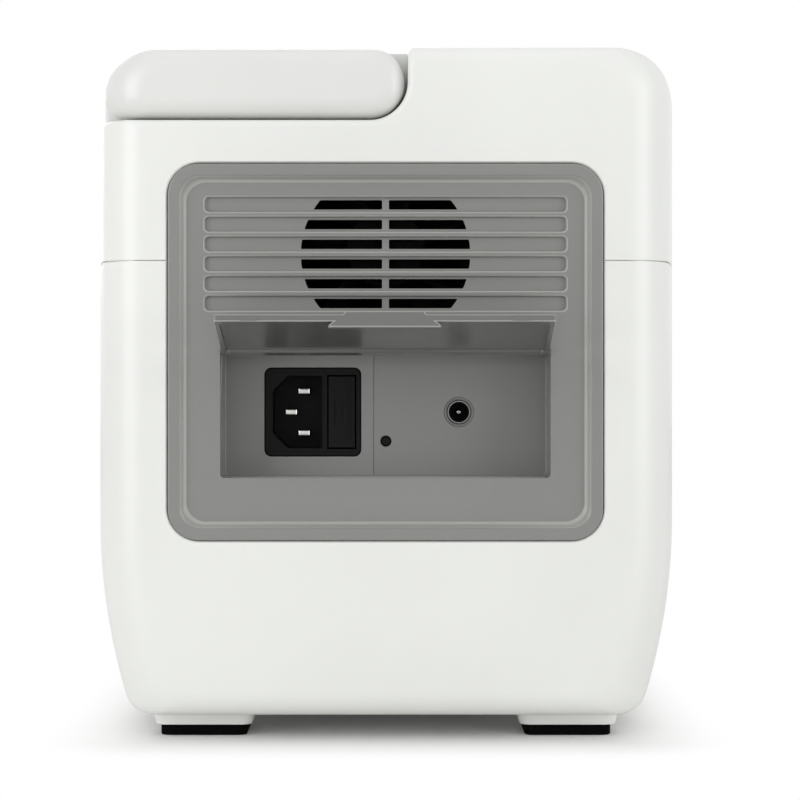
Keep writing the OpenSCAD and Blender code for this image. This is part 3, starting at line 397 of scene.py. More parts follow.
def edges_along_y(bm):
    """The edges of a bmesh that cross from one place along Y to another."""
    return [e for e in bm.edges if abs(e.verts[0].co.y - e.verts[1].co.y) > 1 * MM]


def mm(*pairs):
    """Pairs of lengths given in millimetres."""
    return [(a * MM, b * MM) for a, b in pairs]


def stepped_cut(width, height, radius, profile, centre, way=-1, steps=6):
    """A cutter that goes into a wall. profile lists (draw-in, depth) steps from the
    mouth inwards; it starts 6 mm outside the wall. way is -1 to cut towards -Y."""
    bm = round_plate(width, height, radius, steps)
    bmesh.ops.translate(bm, vec=(0, -way * 6 * MM, 0), verts=bm.verts)
    face = face_of(bmesh.ops.duplicate(bm, geom=bm.faces[:])["geom"])
    for draw, depth in ((0.0, 6 * MM), *profile):
        grown = bmesh.ops.extrude_face_region(bm, geom=[face])["geom"]
        bmesh.ops.delete(bm, geom=[face], context="FACES_ONLY")
        face = face_of(grown)
        shrink = ((width - 2 * draw) / width, 1, (height - 2 * draw) / height)
        bmesh.ops.scale(bm, vec=shrink, verts=points_of(grown))
        bmesh.ops.translate(bm, vec=(0, way * depth, 0), verts=points_of(grown))
        width, height = width - 2 * draw, height - 2 * draw
    return closed(bm, centre)


def gathered(parts):
    """Several separate bmesh solids put into one."""
    whole = bmesh.new()
    for part in parts:
        mesh = bpy.data.meshes.new("part")
        part.to_mesh(mesh)
        part.free()
        whole.from_mesh(mesh)
        bpy.data.meshes.remove(mesh)
    return whole


def tuck_side(inset, sign):
    """The drawn-in side from the start of its curve down to the bottom's rounding."""
    half, r_tuck, r_low = TUCK_Z - CASE_BOTTOM_Z - inset, TUCK_R - inset, BOTTOM_R - inset
    low = math.asin((half - r_low) / (r_tuck - r_low))
    edge = BODY_W / 2 - inset
    centre_x = edge - r_tuck + math.sqrt((r_tuck - r_low) ** 2 - (half - r_low) ** 2)
    pull_x, pull_z = -sign * (CORNER_R - inset), BOTTOM_R - inset
    points = []
    for i in range(15):
        a = low * i / 14
        points.append((sign * (edge - r_tuck + r_tuck * math.cos(a)),
                       TUCK_Z - r_tuck * math.sin(a), pull_x, pull_z * i / 14))
    for i in range(1, 9):
        a = low + (math.pi / 2 - low) * i / 8
        points.append((sign * (centre_x + r_low * math.cos(a)),
                       TUCK_Z - half + r_low - r_low * math.sin(a), pull_x, pull_z))
    return points


def lower_outline(inset=0.0):
    top, edge = SEAM_Z + inset, BODY_W / 2 - inset
    pull = CORNER_R - inset
    lip = [] if inset else [(edge - 1.2 * MM, top - SEAM_GAP, -pull, 0.0),
                            (edge - SEAM_EASE, top - SEAM_GAP, -pull, 0.0),
                            (edge, top - SEAM_GAP - SEAM_EASE, -pull, 0.0)]
    rim = edge if inset else edge - 1.2 * MM
    right = [(rim, top, -pull, 0.0)] + lip + tuck_side(inset, 1)
    left = [(-x, z, -px, pz) for x, z, px, pz in reversed(right)]
    return right + left


white_case = plastic("white_case_plastic", (0.79, 0.80, 0.775), roughness=0.36, coat=0.15)
panel_low, panel_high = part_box("rear_panel")
PANEL_W, PANEL_R, FLANGE_W = 140.6 * MM, 10 * MM, 5 * MM
PANEL_H = panel_high.z - panel_low.z - 2 * FLANGE_W
PANEL_Z = (panel_low.z + panel_high.z) / 2
PANEL_GAP = 0.3 * MM
opening_steps = mm((0.25, 0.25), (0.25, 0.6), (0, 14))


def panel_mouth(end):
    """The cutter for the panel opening at one end of the case."""
    grow = 2 * PANEL_GAP + 1 * MM
    return stepped_cut(PANEL_W + grow, PANEL_H + grow, PANEL_R + grow / 2, opening_steps,
                       (0, MID_Y + end * HALF_D, PANEL_Z), way=-end, steps=10)


FOOT_W, FOOT_L, FOOT_X, PAD_H = 34 * MM, 30 * MM, 60 * MM, 3.6 * MM
FOOT_Y = HALF_D - BOTTOM_R - 7 * MM - FOOT_L / 2
GRILLE_X, GRILLE_W, SLOT_PITCH, SLOT_W = 44 * MM, 46 * MM, 9 * MM, 3.5 * MM


def slot_bar(x, y, z, sx, sy, sz):
    """A plain rectangular cutter."""
    bm = bmesh.new()
    bmesh.ops.create_cube(bm, size=1)
    bmesh.ops.scale(bm, vec=(sx, sy, sz), verts=bm.verts)
    bmesh.ops.translate(bm, vec=(x, y, z), verts=bm.verts)
    return bm


grille = gathered([slot_bar(GRILLE_X, MID_Y + i * SLOT_PITCH, CASE_BOTTOM_Z, GRILLE_W, SLOT_W,
                            3 * WALL) for i in range(-4, 5)])
seam_groove = gathered([slot_bar(0, MID_Y + s * HALF_D, SEAM_Z, BODY_W - 2 * CORNER_R + 4 * MM,
                                 2.2 * MM, 2 * SEAM_GAP) for s in (-1, 1)])
shell = carved(long_moulding(lower_outline(), MID_Y - HALF_D, MID_Y + HALF_D),
               long_moulding(lower_outline(WALL), MID_Y - HALF_D + WALL, MID_Y + HALF_D - WALL),
               panel_mouth(1), panel_mouth(-1), grille, seam_groove)
lower_case = settle("lower_case_shell", shell, "case", white_case)
stand_in(lower_case, "lower_case")

# ---------------------------------------------------------------------------
# Foot blocks. Four white blocks under the case, wider at the top, moulded with
# it. Each takes a black rubber pad held by one screw from below.
# ---------------------------------------------------------------------------
FOOT_TAPER = 0.93
FEET = [(sx * FOOT_X, MID_Y + sy * FOOT_Y, 0) for sx in (-1, 1) for sy in (-1, 1)]


def upright_plate(width, length, radius, low, high, taper=1.0, ease=0.0, steps=5):
    """A block with rounded corners standing on Z, narrower below by taper."""
    bm = round_plate(width, length, radius, steps)
    bmesh.ops.rotate(bm, cent=(0, 0, 0), matrix=Matrix.Rotation(math.pi / 2, 3, "X"),
                     verts=bm.verts)
    face = bm.faces[:][0]
    grown = bmesh.ops.extrude_face_region(bm, geom=[face])["geom"]
    top = points_of(grown)
    bottom = [v for v in bm.verts if v not in top]
    bmesh.ops.translate(bm, vec=(0, 0, high - low), verts=top)
    bmesh.ops.scale(bm, vec=(taper, taper, 1), verts=bottom)
    bmesh.ops.translate(bm, vec=(0, 0, low), verts=bm.verts)
    bmesh.ops.recalc_face_normals(bm, faces=bm.faces)
    if ease:
        round_edges(bm, edges_where(bm, lambda p: p.z < low + 1e-6), ease)
    return bm


def at_places(make, places):
    """One solid at each place, from a function that draws it about the origin."""
    parts = [make() for _ in places]
    for part, place in zip(parts, places):
        bmesh.ops.translate(part, vec=place, verts=part.verts)
    return gathered(parts)


blocks = at_places(lambda: upright_plate(FOOT_W, FOOT_L, 4 * MM, PAD_H, CASE_BOTTOM_Z + 0.9 * MM,
                                         taper=FOOT_TAPER, ease=0.5 * MM), FEET)
# The blocks are given a paler white than the case they are moulded with: painted light that lifts
# the shade under the case.
foot_plastic_painted_light = plastic("foot_plastic_painted_lighter", (0.90, 0.90, 0.88), roughness=0.45)
settle("foot_blocks", blocks, "case", foot_plastic_painted_light)

PAD_W, PAD_L = 28.5 * MM, 25 * MM
rubber = plastic("foot_rubber", (0.0025, 0.0025, 0.0025), roughness=0.8, grain=1500, depth=0.05,
                 shine=0.05)


def rubber_pad():
    bore = bmesh.new()
    bmesh.ops.create_cone(bore, cap_ends=True, segments=24, radius1=3 * MM, radius2=3 * MM,
                          depth=4.6 * MM)
    return carved(upright_plate(PAD_W, PAD_L, 3 * MM, 0, PAD_H, ease=0.6 * MM), bore)


pads = settle("rubber_pads", at_places(rubber_pad, FEET), "case", rubber)
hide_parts("rubber_feet")

# ---------------------------------------------------------------------------
# Upper case. The white moulding that carries the tower and the ledge for the
# lid. Its hollow beside the tower is rounded to match the lid's hinge end.
# ---------------------------------------------------------------------------
BODY_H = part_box("upper_case")[1].z
TOWER_R, TOP_R, LEDGE_R = 15 * MM, 6 * MM, 2.2 * MM
LID_T, LID_GAP, LID_DROP = 22.6 * MM, 0.9 * MM, 0.4 * MM
AXIS_X, AXIS_Z = 5 * MM, BODY_H - LID_DROP - LID_T / 2
POCKET_R = LID_T / 2 + LID_GAP
LEDGE_Z = AXIS_Z - POCKET_R


def upper_outline(inset=0.0):
    edge, top, pull = BODY_W / 2 - inset, BODY_H - inset, CORNER_R - inset
    top_pull, ledge_pull = TOP_R - inset, max(0.0, LEDGE_R - inset)
    pocket, brim = POCKET_R + inset, 1.8 * MM
    r = TOWER_R - inset
    low = SEAM_Z - inset
    lip = [] if inset else [(-edge, low + SEAM_EASE, pull, 0.0)]
    rim = edge if inset else edge - SEAM_EASE
    points = [(-rim, low, pull, 0.0)] + lip
    points += arc(-edge + r, top - r, r, 180, 90, 14, (pull, -top_pull))
    points += arc(AXIS_X - pocket - brim, top - brim, brim, 90, 0, 5, (-ledge_pull, -top_pull))
    points += arc(AXIS_X, AXIS_Z, pocket, 180, 270, 14, -ledge_pull)
    points += arc(edge - brim, LEDGE_Z - inset - brim, brim, 90, 0, 5, (-pull, -ledge_pull))
    if not inset:
        points += [(edge, low + SEAM_EASE, -pull, 0.0)]
    return points + [(rim, low, -pull, 0.0)]


BLOCK_X = 54 * MM
WELL_W, WELL_L = 81.0 * MM, 117.0 * MM
window = slot_bar(BLOCK_X, MID_Y, LEDGE_Z, WELL_W + 1.3 * MM, WELL_L + 1.3 * MM, 4 * WALL)
MAGNET_X, MAGNET_Y, MAGNET_R = 72 * MM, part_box("keeper_plates")[1].y - MID_Y - 4 * MM, 4 * MM


def disc_cut(x, y, z, radius, depth, axis="Z", sides=32):
    """A round cutter or bar centred on a point."""
    bm = bmesh.new()
    bmesh.ops.create_cone(bm, cap_ends=True, segments=sides, radius1=radius, radius2=radius,
                          depth=depth)
    if axis != "Z":
        turn = Matrix.Rotation(math.pi / 2, 3, "X" if axis == "Y" else "Y")
        bmesh.ops.rotate(bm, cent=(0, 0, 0), matrix=turn, verts=bm.verts)
    bmesh.ops.translate(bm, vec=(x, y, z), verts=bm.verts)
    return bm


seats = gathered([disc_cut(MAGNET_X, MID_Y + s * MAGNET_Y, LEDGE_Z, MAGNET_R + 0.1 * MM, 2.4 * MM)
                  for s in (-1, 1)])
shell = carved(long_moulding(upper_outline(), MID_Y - HALF_D, MID_Y + HALF_D),
               long_moulding(upper_outline(WALL), MID_Y - HALF_D + WALL, MID_Y + HALF_D - WALL),
               panel_mouth(1), panel_mouth(-1), window, seats)
upper_case = settle("upper_case_shell", shell, "case", white_case)
stand_in(upper_case, "upper_case")

# ---------------------------------------------------------------------------
# Lid. A white pillow-edged cover, fully round at its hinge end and soft at the
# end where fingers lift it. Its underside has a window for the heated plate.
# ---------------------------------------------------------------------------
LID_END_GAP, LID_WALL = 0.6 * MM, 2.4 * MM
LID_TOP_R, LID_LOW_R = 14 * MM, 8 * MM
LID_LOW_Z = AXIS_Z - LID_T / 2
CHEEK_T, KNUCKLE_L, KNUCKLE_GAP, PIN_SEAT = 14 * MM, 24 * MM, 0.5 * MM, 4 * MM
KNUCKLE_Y = HALF_D - LID_END_GAP - CHEEK_T - KNUCKLE_GAP - KNUCKLE_L / 2
KNUCKLE_TOP = LID_T / 2 - 0.3 * MM
KNUCKLE_R = math.hypot(POCKET_R, KNUCKLE_TOP)
NOTCH_R = KNUCKLE_R + KNUCKLE_GAP
WINDOW_W, WINDOW_L = 78.9 * MM, 114.9 * MM


def end_round(cx, cz, r, start, end, steps, pull_x, pull_z):
    """A rounded edge whose vertical pull grows from its side to its top or bottom."""
    return [(x, z, pull_x, pull_z * abs(z - cz) / r)
            for x, z, _, _ in arc(cx, cz, r, start, end, steps, 0)]


def lid_outline(inset=0.0):
    edge = BODY_W / 2 - LID_END_GAP - inset
    r, r_top, r_low = LID_T / 2 - inset, LID_TOP_R - inset, LID_LOW_R - inset
    pull_x, pull_z = CORNER_R - inset, TOP_R - inset
    points = arc(AXIS_X, AXIS_Z, r, 270, 90, 26, pull_z)
    points += end_round(edge - r_top, AXIS_Z + r - r_top, r_top, 90, 0, 12, -pull_x, -pull_z)
    points += end_round(edge - r_low, AXIS_Z - r + r_low, r_low, 0, -90, 10, -pull_x, pull_z)
    return points


def at_knuckles(make):
    """One solid at each of the two hinge knuckles."""
    return gathered([make(MID_Y + s * KNUCKLE_Y) for s in (-1, 1)])


def lid_body(inset=0.0):
    reach = HALF_D - LID_END_GAP - inset
    return long_moulding(lid_outline(inset), MID_Y - reach, MID_Y + reach)


collars = at_knuckles(lambda y: disc_cut(AXIS_X, y, AXIS_Z, NOTCH_R + LID_WALL,
                                         KNUCKLE_L + 2 * (KNUCKLE_GAP + PIN_SEAT) + 2.8 * MM,
                                         "Y", 64))
notches = at_knuckles(lambda y: disc_cut(AXIS_X, y, AXIS_Z, NOTCH_R,
                                         KNUCKLE_L + 2 * KNUCKLE_GAP, "Y", 64))
magnet_holes = gathered([disc_cut(MAGNET_X, MID_Y + s * MAGNET_Y, LID_LOW_Z, MAGNET_R + 0.02 * MM,
                                  3 * LID_WALL) for s in (-1, 1)])
lid_window = slot_bar(BLOCK_X, MID_Y, LID_LOW_Z, WINDOW_W, WINDOW_L, 3 * LID_WALL)
white_lid = plastic("white_lid_plastic", (0.73, 0.735, 0.715), roughness=0.32, coat=0.2)
lid_shape = carved(lid_body(), carved(lid_body(LID_WALL), collars), notches, lid_window,
                   magnet_holes)
lid_cover = settle("lid_cover_shell", lid_shape, "lid", white_lid)
stand_in(lid_cover, "lid_cover")

# ---------------------------------------------------------------------------
# Hinge knuckles. Two white lugs stand in the hollow beside the tower and carry
# the steel pins on which the lid turns. The outline is round under the axis.
# ---------------------------------------------------------------------------
body_of = {n: b for b, group in frame["record"]["behaviour"]["bodies"].items() for n in group}


def soften(piece, width, segments, angle):
    """Rounds every edge of a piece that turns by more than an angle."""
    rounding = piece.modifiers.new("rounding", "BEVEL")
    rounding.width = width
    rounding.segments = segments
    rounding.limit_method = "ANGLE"
    rounding.angle_limit = math.radians(angle)


def eased(node, width, material, segments=2, angle=30, smooth=40, flat=0.02 * MM):
    """A copy of a CAD piece with its flat faces joined and its edges rounded."""
    source = nodes[node]
    bm = bmesh.new()
    bm.from_mesh(source.data)
    bm.transform(source.matrix_world)
    bmesh.ops.remove_doubles(bm, verts=bm.verts, dist=flat / 4)
    bmesh.ops.dissolve_limit(bm, angle_limit=math.radians(1), verts=bm.verts, edges=bm.edges,
                             use_dissolve_boundaries=False)
    piece = settle(node + "_eased", bm, body_of[node], material, smooth)
    soften(piece, width, segments, angle)
    stand_in(piece, node)


eased("hinge_knuckles", 0.5 * MM, white_case)

# ---------------------------------------------------------------------------
# Rear panel. A grey moulding set in the case with a thin gap. It has a soft
# raised rim, six vent grooves and a deep bay for the mains and the jack.
# ---------------------------------------------------------------------------
RIM_W, FIELD_DROP, FIELD_T = 4.6 * MM, 2.5 * MM, 3 * MM
FIELD_Y, FIELD_BACK_Y = REAR_Y - FIELD_DROP, REAR_Y - FIELD_DROP - FIELD_T
BAY_W, BAY_H, BAY_DEPTH, BAY_FLOOR_T, BAY_WALL = 107 * MM, 42.8 * MM, 22 * MM, 2.4 * MM, 1.6 * MM
BAY_Z, BAY_FLOOR_Y = PANEL_Z - PANEL_H / 2 + 20 * MM, FIELD_Y - BAY_DEPTH
VENT_Z = PANEL_Z + PANEL_H / 2 - 29 * MM
VENT_ROWS, VENT_PITCH, GROOVE_W, GROOVE_H, GROOVE_DEPTH = 6, 6.4 * MM, 117 * MM, 4.7 * MM, 1.6 * MM
VENT_OPEN_H, VENT_R, VENT_BAR_W = 3.1 * MM, 27.5 * MM, 2.2 * MM
CONNECTOR_X, CONNECTOR_Z = 24.3 * MM, BAY_Z + BAY_H / 2 - 0.1 * MM
SCOOP_W, SCOOP_DROP, SCOOP_DEPTH = 72 * MM, 9.4 * MM, 1.4 * MM
RESET_Z, SCREW_R, FLANGE_T = BAY_Z + 11.6 * MM, 1.4 * MM, 1.5 * MM


def prism(points, low, high, axis="Y"):
    """A solid from an outline drawn out along an axis. The outline is given in the
    other two axes, in the order X, Y, Z."""
    bm = bmesh.new()
    along = "XYZ".index(axis)
    ring = [bm.verts.new((*pair[:along], low, *pair[along:])) for pair in points]
    grown = bmesh.ops.extrude_face_region(bm, geom=[bm.faces.new(ring)])["geom"]
    reach = [high - low if i == along else 0 for i in range(3)]
    bmesh.ops.translate(bm, vec=reach, verts=points_of(grown))
    bmesh.ops.recalc_face_normals(bm, faces=bm.faces)
    return bm


def solid_plate(width, height, radius, low, high, centre=(0, 0), steps=8):
    """A rounded plate standing in X and Z, between two places along Y."""
    bm = round_plate(width, height, radius, steps)
    raise_face(bm, bmesh.ops.duplicate(bm, geom=bm.faces[:])["geom"][-1], high - low)
    return closed(bm, (centre[0], low, centre[1]))


def vent_rows():
    """The middle height of each vent groove."""
    return [VENT_Z + (i - (VENT_ROWS - 1) / 2) * VENT_PITCH for i in range(VENT_ROWS)]


def vent_slot(z, side):
    """The opening in one groove on one side of the upright bar, ended by the circle."""
    heights = [z - VENT_OPEN_H / 2, z, z + VENT_OPEN_H / 2]
    reach = [math.sqrt(VENT_R ** 2 - (h - VENT_Z) ** 2) for h in heights]
    points = [(side * VENT_BAR_W / 2, heights[0])]
    points += [(side * r, h) for r, h in zip(reach, heights)]
    points += [(side * VENT_BAR_W / 2, heights[2])]
    bm = prism(points, FIELD_BACK_Y - 2 * MM, FIELD_Y + 2 * MM)
    ends = [e for e in edges_along_y(bm) if abs(e.verts[0].co.z - z) > 0.1 * MM]
    round_edges(bm, ends, 0.35 * MM)
    return bm


def finger_scoop():
    """The cutter for the shallow dish under the bay, deepest at the bay's edge."""
    bm = bmesh.new()
    rows = [(BAY_Z + 1 * MM - t * (SCOOP_DROP + 1 * MM), SCOOP_DEPTH * (1 - t) ** 1.4)
            for t in (i / 12 for i in range(13))]
    rings = []
    for j in range(25):
        s = j / 24 * 2 - 1
        soft = min(1.0, (1 - abs(s)) * 6)
        soft = soft * soft * (3 - 2 * soft)
        x = s * (SCOOP_W / 2)
        dish = [bm.verts.new((x, FIELD_Y + 0.02 * MM - d * soft, z)) for z, d in rows]
        cap = [bm.verts.new((x, FIELD_Y + 3 * MM, rows[-1][0])),
               bm.verts.new((x, FIELD_Y + 3 * MM, rows[0][0]))]
        rings.append(dish + cap)
    for a, b in zip(rings, rings[1:]):
        for k in range(len(a)):
            n = (k + 1) % len(a)
            bm.faces.new((a[k], a[n], b[n], b[k]))
    bm.faces.new(rings[0])
    bm.faces.new(rings[-1][::-1])
    return bm


panel_body = solid_plate(PANEL_W, PANEL_H, PANEL_R, FIELD_BACK_Y, REAR_Y, (0, PANEL_Z), 12)
round_edges(panel_body, edges_where(panel_body, lambda p: p.y > REAR_Y - 1e-6), 0.6 * MM, 3)
flange = solid_plate(PANEL_W + 2 * FLANGE_W, PANEL_H + 2 * FLANGE_W, PANEL_R + FLANGE_W,
                     REAR_Y - WALL - FLANGE_T, REAR_Y - WALL, (0, PANEL_Z))
tub = solid_plate(BAY_W + 2 * BAY_WALL, BAY_H + 2 * BAY_WALL, 2.8 * MM, BAY_FLOOR_Y - BAY_FLOOR_T,
                  FIELD_BACK_Y + 0.5 * MM, (0, BAY_Z + BAY_H / 2))
slope = 1.2 * MM
field_cut = stepped_cut(PANEL_W - 2 * RIM_W + 2 * slope, PANEL_H - 2 * RIM_W + 2 * slope,
                        PANEL_R - RIM_W + slope,
                        mm((0.3, 0.05), (0.3, 0.17), (0.28, 0.33), (0.24, 0.6), (0.28, 0.62),
                           (0.36, 0.4), (0.45, 0.22), (0.55, 0.11)),
                        (0, REAR_Y, PANEL_Z), steps=12)
bay_cut = stepped_cut(BAY_W + 0.5 * MM, BAY_H + 0.5 * MM, 1.45 * MM,
                      ((0.25 * MM, FIELD_DROP + 0.3 * MM), (0.0, BAY_DEPTH - 0.9 * MM),
                       (0.15 * MM, 0.35 * MM), (0.45 * MM, 0.25 * MM)),
                      (0, REAR_Y, BAY_Z + BAY_H / 2))
groove_cuts = gathered([stepped_cut(GROOVE_W + 1.2 * MM, GROOVE_H + 1.2 * MM, 1.6 * MM,
                                    ((0.0, FIELD_DROP - 0.01 * MM),
                                     *mm((0.2, 0.05), (0.22, 0.15), (0.13, 0.2), (0.05, 0.25)),
                                     (0.0, GROOVE_DEPTH - 0.84 * MM), (0.2 * MM, 0.2 * MM)),
                                    (0, REAR_Y, z), steps=4) for z in vent_rows()])
slot_cuts = gathered([vent_slot(z, side) for z in vent_rows() for side in (-1, 1)])
INLET_W, INLET_H, INLET_GAP = 31.8 * MM, 29.2 * MM, 0.25 * MM
JACK_SLEEVE_R, JACK_DISH_R, RESET_HOLE_R = 4 * MM, 5.2 * MM, 1.8 * MM


def lathe(points, axis, centre=(0, 0, 0), sides=48):
    """A solid of revolution: an outline of points turned about an axis."""
    bm = bmesh.new()
    ring = [bm.verts.new(p) for p in points]
    edges = [bm.edges.new(pair) for pair in zip(ring, ring[1:])]
    bmesh.ops.spin(bm, geom=ring + edges, cent=centre, axis=axis, angle=2 * math.pi,
                   steps=sides, use_merge=True)
    return closed(bm)


def turned_cut(x, z, profile, sides=48):
    """A round stepped cutter into the bay floor; profile lists (radius, depth)."""
    outline = [(0, -4 * MM), *profile, (0, profile[-1][1])]
    return lathe([(x + r, BAY_FLOOR_Y - d, z) for r, d in outline], (0, 1, 0), (x, 0, z), sides)


floor_cuts = gathered([
    solid_plate(INLET_W + 2 * INLET_GAP, INLET_H + 2 * INLET_GAP, 2.4 * MM,
                BAY_FLOOR_Y - 3 * BAY_FLOOR_T, BAY_FLOOR_Y + 2 * MM, (CONNECTOR_X, CONNECTOR_Z)),
    turned_cut(-CONNECTOR_X, CONNECTOR_Z,
               ((JACK_DISH_R, -4 * MM), (JACK_DISH_R, -0.1 * MM),
                (JACK_DISH_R - 0.3 * MM, 0.2 * MM), (JACK_DISH_R - 0.5 * MM, 0.75 * MM),
                (JACK_SLEEVE_R + 0.35 * MM, 0.8 * MM), (JACK_SLEEVE_R + 0.05 * MM, 1.05 * MM),
                (JACK_SLEEVE_R + 0.05 * MM, 6 * MM))),
    turned_cut(0, RESET_Z, ((RESET_HOLE_R + 0.25 * MM, -4 * MM), (RESET_HOLE_R + 0.25 * MM, 0.0),
                            (RESET_HOLE_R, 0.25 * MM), (RESET_HOLE_R, 6 * MM)), 32)])
scribe = slot_bar(4.05 * MM, BAY_FLOOR_Y, BAY_Z + BAY_H / 2, 0.3 * MM, 0.5 * MM, BAY_H - 1 * MM)
FLAP_T, FLAP_GAP, FLAP_PIN_R, FLAP_PIN_L = 2.3 * MM, 0.6 * MM, 1 * MM, 2 * MM
FLAP_AXIS_Y, FLAP_AXIS_Z = FIELD_Y - 0.1 * MM - FLAP_T / 2, BAY_Z + BAY_H - 1.9 * MM
pivot_holes = disc_cut(0, FLAP_AXIS_Y, FLAP_AXIS_Z, FLAP_PIN_R + 0.08 * MM,
                       BAY_W + 2 * FLAP_PIN_L + 1 * MM, "X", 24)
fixing_spots = [(sx * (PANEL_W / 2 - 24 * MM), PANEL_Z + sz * (PANEL_H / 2 + FLANGE_W / 2))
                for sx in (-1, 1) for sz in (-1, 1)]
fixing_cuts = gathered([disc_cut(x, REAR_Y - WALL - FLANGE_T, z, SCREW_R, 8 * MM, "Y", 24)
                        for x, z in fixing_spots])
panel_grey = plastic("panel_grey_plastic", (0.225, 0.225, 0.217), roughness=0.36, drift=0.03,
                     coat=0.3, sheen=0.2)


def between(tree, value, low, high):
    """1 where a value lies inside a band."""
    above = math_node(tree, "GREATER_THAN", value, low)
    return math_node(tree, "MULTIPLY", above, math_node(tree, "LESS_THAN", value, high))


def paint_edge_highlights(material, colour):
    """Paints highlights in a paler grey on the rim's slope and on the walls of the vent grooves."""
    tree = material.node_tree
    shader = next(n for n in tree.nodes if n.type == "BSDF_PRINCIPLED")
    moulded = shader.inputs["Base Color"].links[0].from_socket
    place = add_node(tree, "SeparateXYZ")
    coords = add_node(tree, "TexCoord")
    tree.links.new(coords.outputs["Object"], place.inputs[0])
    slopes = between(tree, place.outputs["Y"], FIELD_Y + 0.05 * MM, REAR_Y - 0.2 * MM)
    walls = between(tree, place.outputs["Y"], FIELD_Y - GROOVE_DEPTH + 0.3 * MM,
                    FIELD_Y - 0.02 * MM)
    walls = math_node(tree, "MULTIPLY", walls,
                      math_node(tree, "GREATER_THAN", place.outputs["Z"], FLAP_AXIS_Z))
    mix = add_node(tree, "Mix")
    mix.data_type = "RGBA"
    as_moulded, painted_highlight = [s for s in mix.inputs if s.type == "RGBA"]
    painted_highlight.default_value = (*colour, 1)
    tree.links.new(moulded, as_moulded)
    tree.links.new(math_node(tree, "ADD", slopes, walls), mix.inputs[0])
    result = next(s for s in mix.outputs if s.type == "RGBA")
    tree.links.new(result, shader.inputs["Base Color"])


# The panel's rim slope and vent groove walls get a painted highlight in a paler grey.
paint_edge_highlights(panel_grey, (0.37, 0.37, 0.352))
panel_shape = carved(panel_body, field_cut, bay_cut, finger_scoop(), groove_cuts, slot_cuts,
                     floor_cuts, scribe, pivot_holes, fixing_cuts, join=(flange, tub))
rear_panel = settle("rear_panel_shell", panel_shape, "case", panel_grey, smooth=32)
stand_in(rear_panel, "rear_panel")

# ---------------------------------------------------------------------------
# Bay flap. A thin grey tray on two moulded pins, standing open. It has a flared
# finger catch with a slot behind it, and two small bumps that snap it shut. Its
# inner side is glossy and left bare.
# ---------------------------------------------------------------------------
FLAP_W, FLAP_L = BAY_W - 2 * FLAP_GAP, FLAP_AXIS_Z - BAY_Z - FLAP_GAP
FLAP_OPEN = math.radians(104)
FLAP_LOW = FLAP_AXIS_Z - FLAP_L
FLAP_IN, FLAP_OUT = FLAP_AXIS_Y - FLAP_T / 2, FLAP_AXIS_Y + FLAP_T / 2
TRAY_DROP, TRAY_EDGE = 0.9 * MM, 1.6 * MM
CATCH_W, CATCH_L, CATCH_FLARE = 35 * MM, 3 * MM, 5.2 * MM
CATCH_OUT, CATCH_IN = FLAP_OUT + 1.1 * MM, FLAP_IN - 1.8 * MM
TRAY_LOW, TRAY_HIGH = FLAP_LOW + TRAY_EDGE + 1.4 * MM, FLAP_AXIS_Z - 3 * MM


def round_with_painted_highlight(bm, chosen, offset):
    """Rounds edges and gives the new faces the second material, a paler grey that paints a
    highlight on them.
    """
    for face in round_edges(bm, chosen, offset):
        face.material_index = 1


flap_plate = solid_plate(FLAP_W, FLAP_L, 0.8 * MM, FLAP_IN, FLAP_OUT,
                         (0, FLAP_AXIS_Z - FLAP_L / 2), 4)
round_with_painted_highlight(flap_plate, [e for e in flap_plate.edges
                      if abs(e.verts[0].co.y - e.verts[1].co.y) < 1e-6
                      and min(v.co.z for v in e.verts) < FLAP_AXIS_Z - FLAP_L / 2], 0.32 * MM)
barrel = disc_cut(0, FLAP_AXIS_Y, FLAP_AXIS_Z, FLAP_T / 2, FLAP_W, "X", 32)
pins = disc_cut(0, FLAP_AXIS_Y, FLAP_AXIS_Z, FLAP_PIN_R, FLAP_W + 2 * FLAP_PIN_L, "X", 24)
flank = [(CATCH_W / 2 - CATCH_FLARE * (3 - 2 * t) * t * t, CATCH_IN + (CATCH_OUT - CATCH_IN) * t)
         for t in (i / 8 for i in range(9))]
catch = prism(flank + [(-x, y) for x, y in reversed(flank)], FLAP_LOW, FLAP_LOW + CATCH_L, "Z")
round_with_painted_highlight(catch, edges_where(catch, lambda p: p.z < FLAP_LOW + 1e-6), 0.4 * MM)
tray = slot_bar(0, FLAP_IN, (TRAY_LOW + TRAY_HIGH) / 2, FLAP_W - 2 * TRAY_EDGE, 2 * TRAY_DROP,
                TRAY_HIGH - TRAY_LOW)
round_edges(tray, [e for e in tray.edges if e.verts[0].co.x == e.verts[1].co.x
                   and e.verts[0].co.z == e.verts[1].co.z], 1.2 * MM, 4)
round_edges(tray, edges_where(tray, lambda p: p.y > FLAP_IN), 0.3 * MM)
catch_slot = slot_bar(0, FLAP_AXIS_Y, FLAP_LOW + CATCH_L + 0.95 * MM, 16 * MM, 3 * FLAP_T,
                      1.3 * MM)
snaps = gathered([slot_bar(s * 42 * MM, FLAP_AXIS_Y - 0.15 * MM, FLAP_LOW, 5.2 * MM, 1.5 * MM,
                           0.56 * MM) for s in (-1, 1)])
flap_shape = carved(flap_plate, tray, catch_slot, join=(barrel, catch, pins, snaps))
bmesh.ops.dissolve_limit(flap_shape, angle_limit=math.radians(2), verts=flap_shape.verts,
                         edges=flap_shape.edges)
bmesh.ops.rotate(flap_shape, cent=(0, FLAP_AXIS_Y, FLAP_AXIS_Z), verts=flap_shape.verts,
                 matrix=Matrix.Rotation(FLAP_OPEN, 3, "X"))
flap_grey = plastic("flap_grey_plastic", (0.115, 0.115, 0.112), roughness=0.22, depth=0.006,
                    drift=0.025, coat=1.0)
bay_flap = settle("bay_flap_tray", flap_shape, "flap", flap_grey)
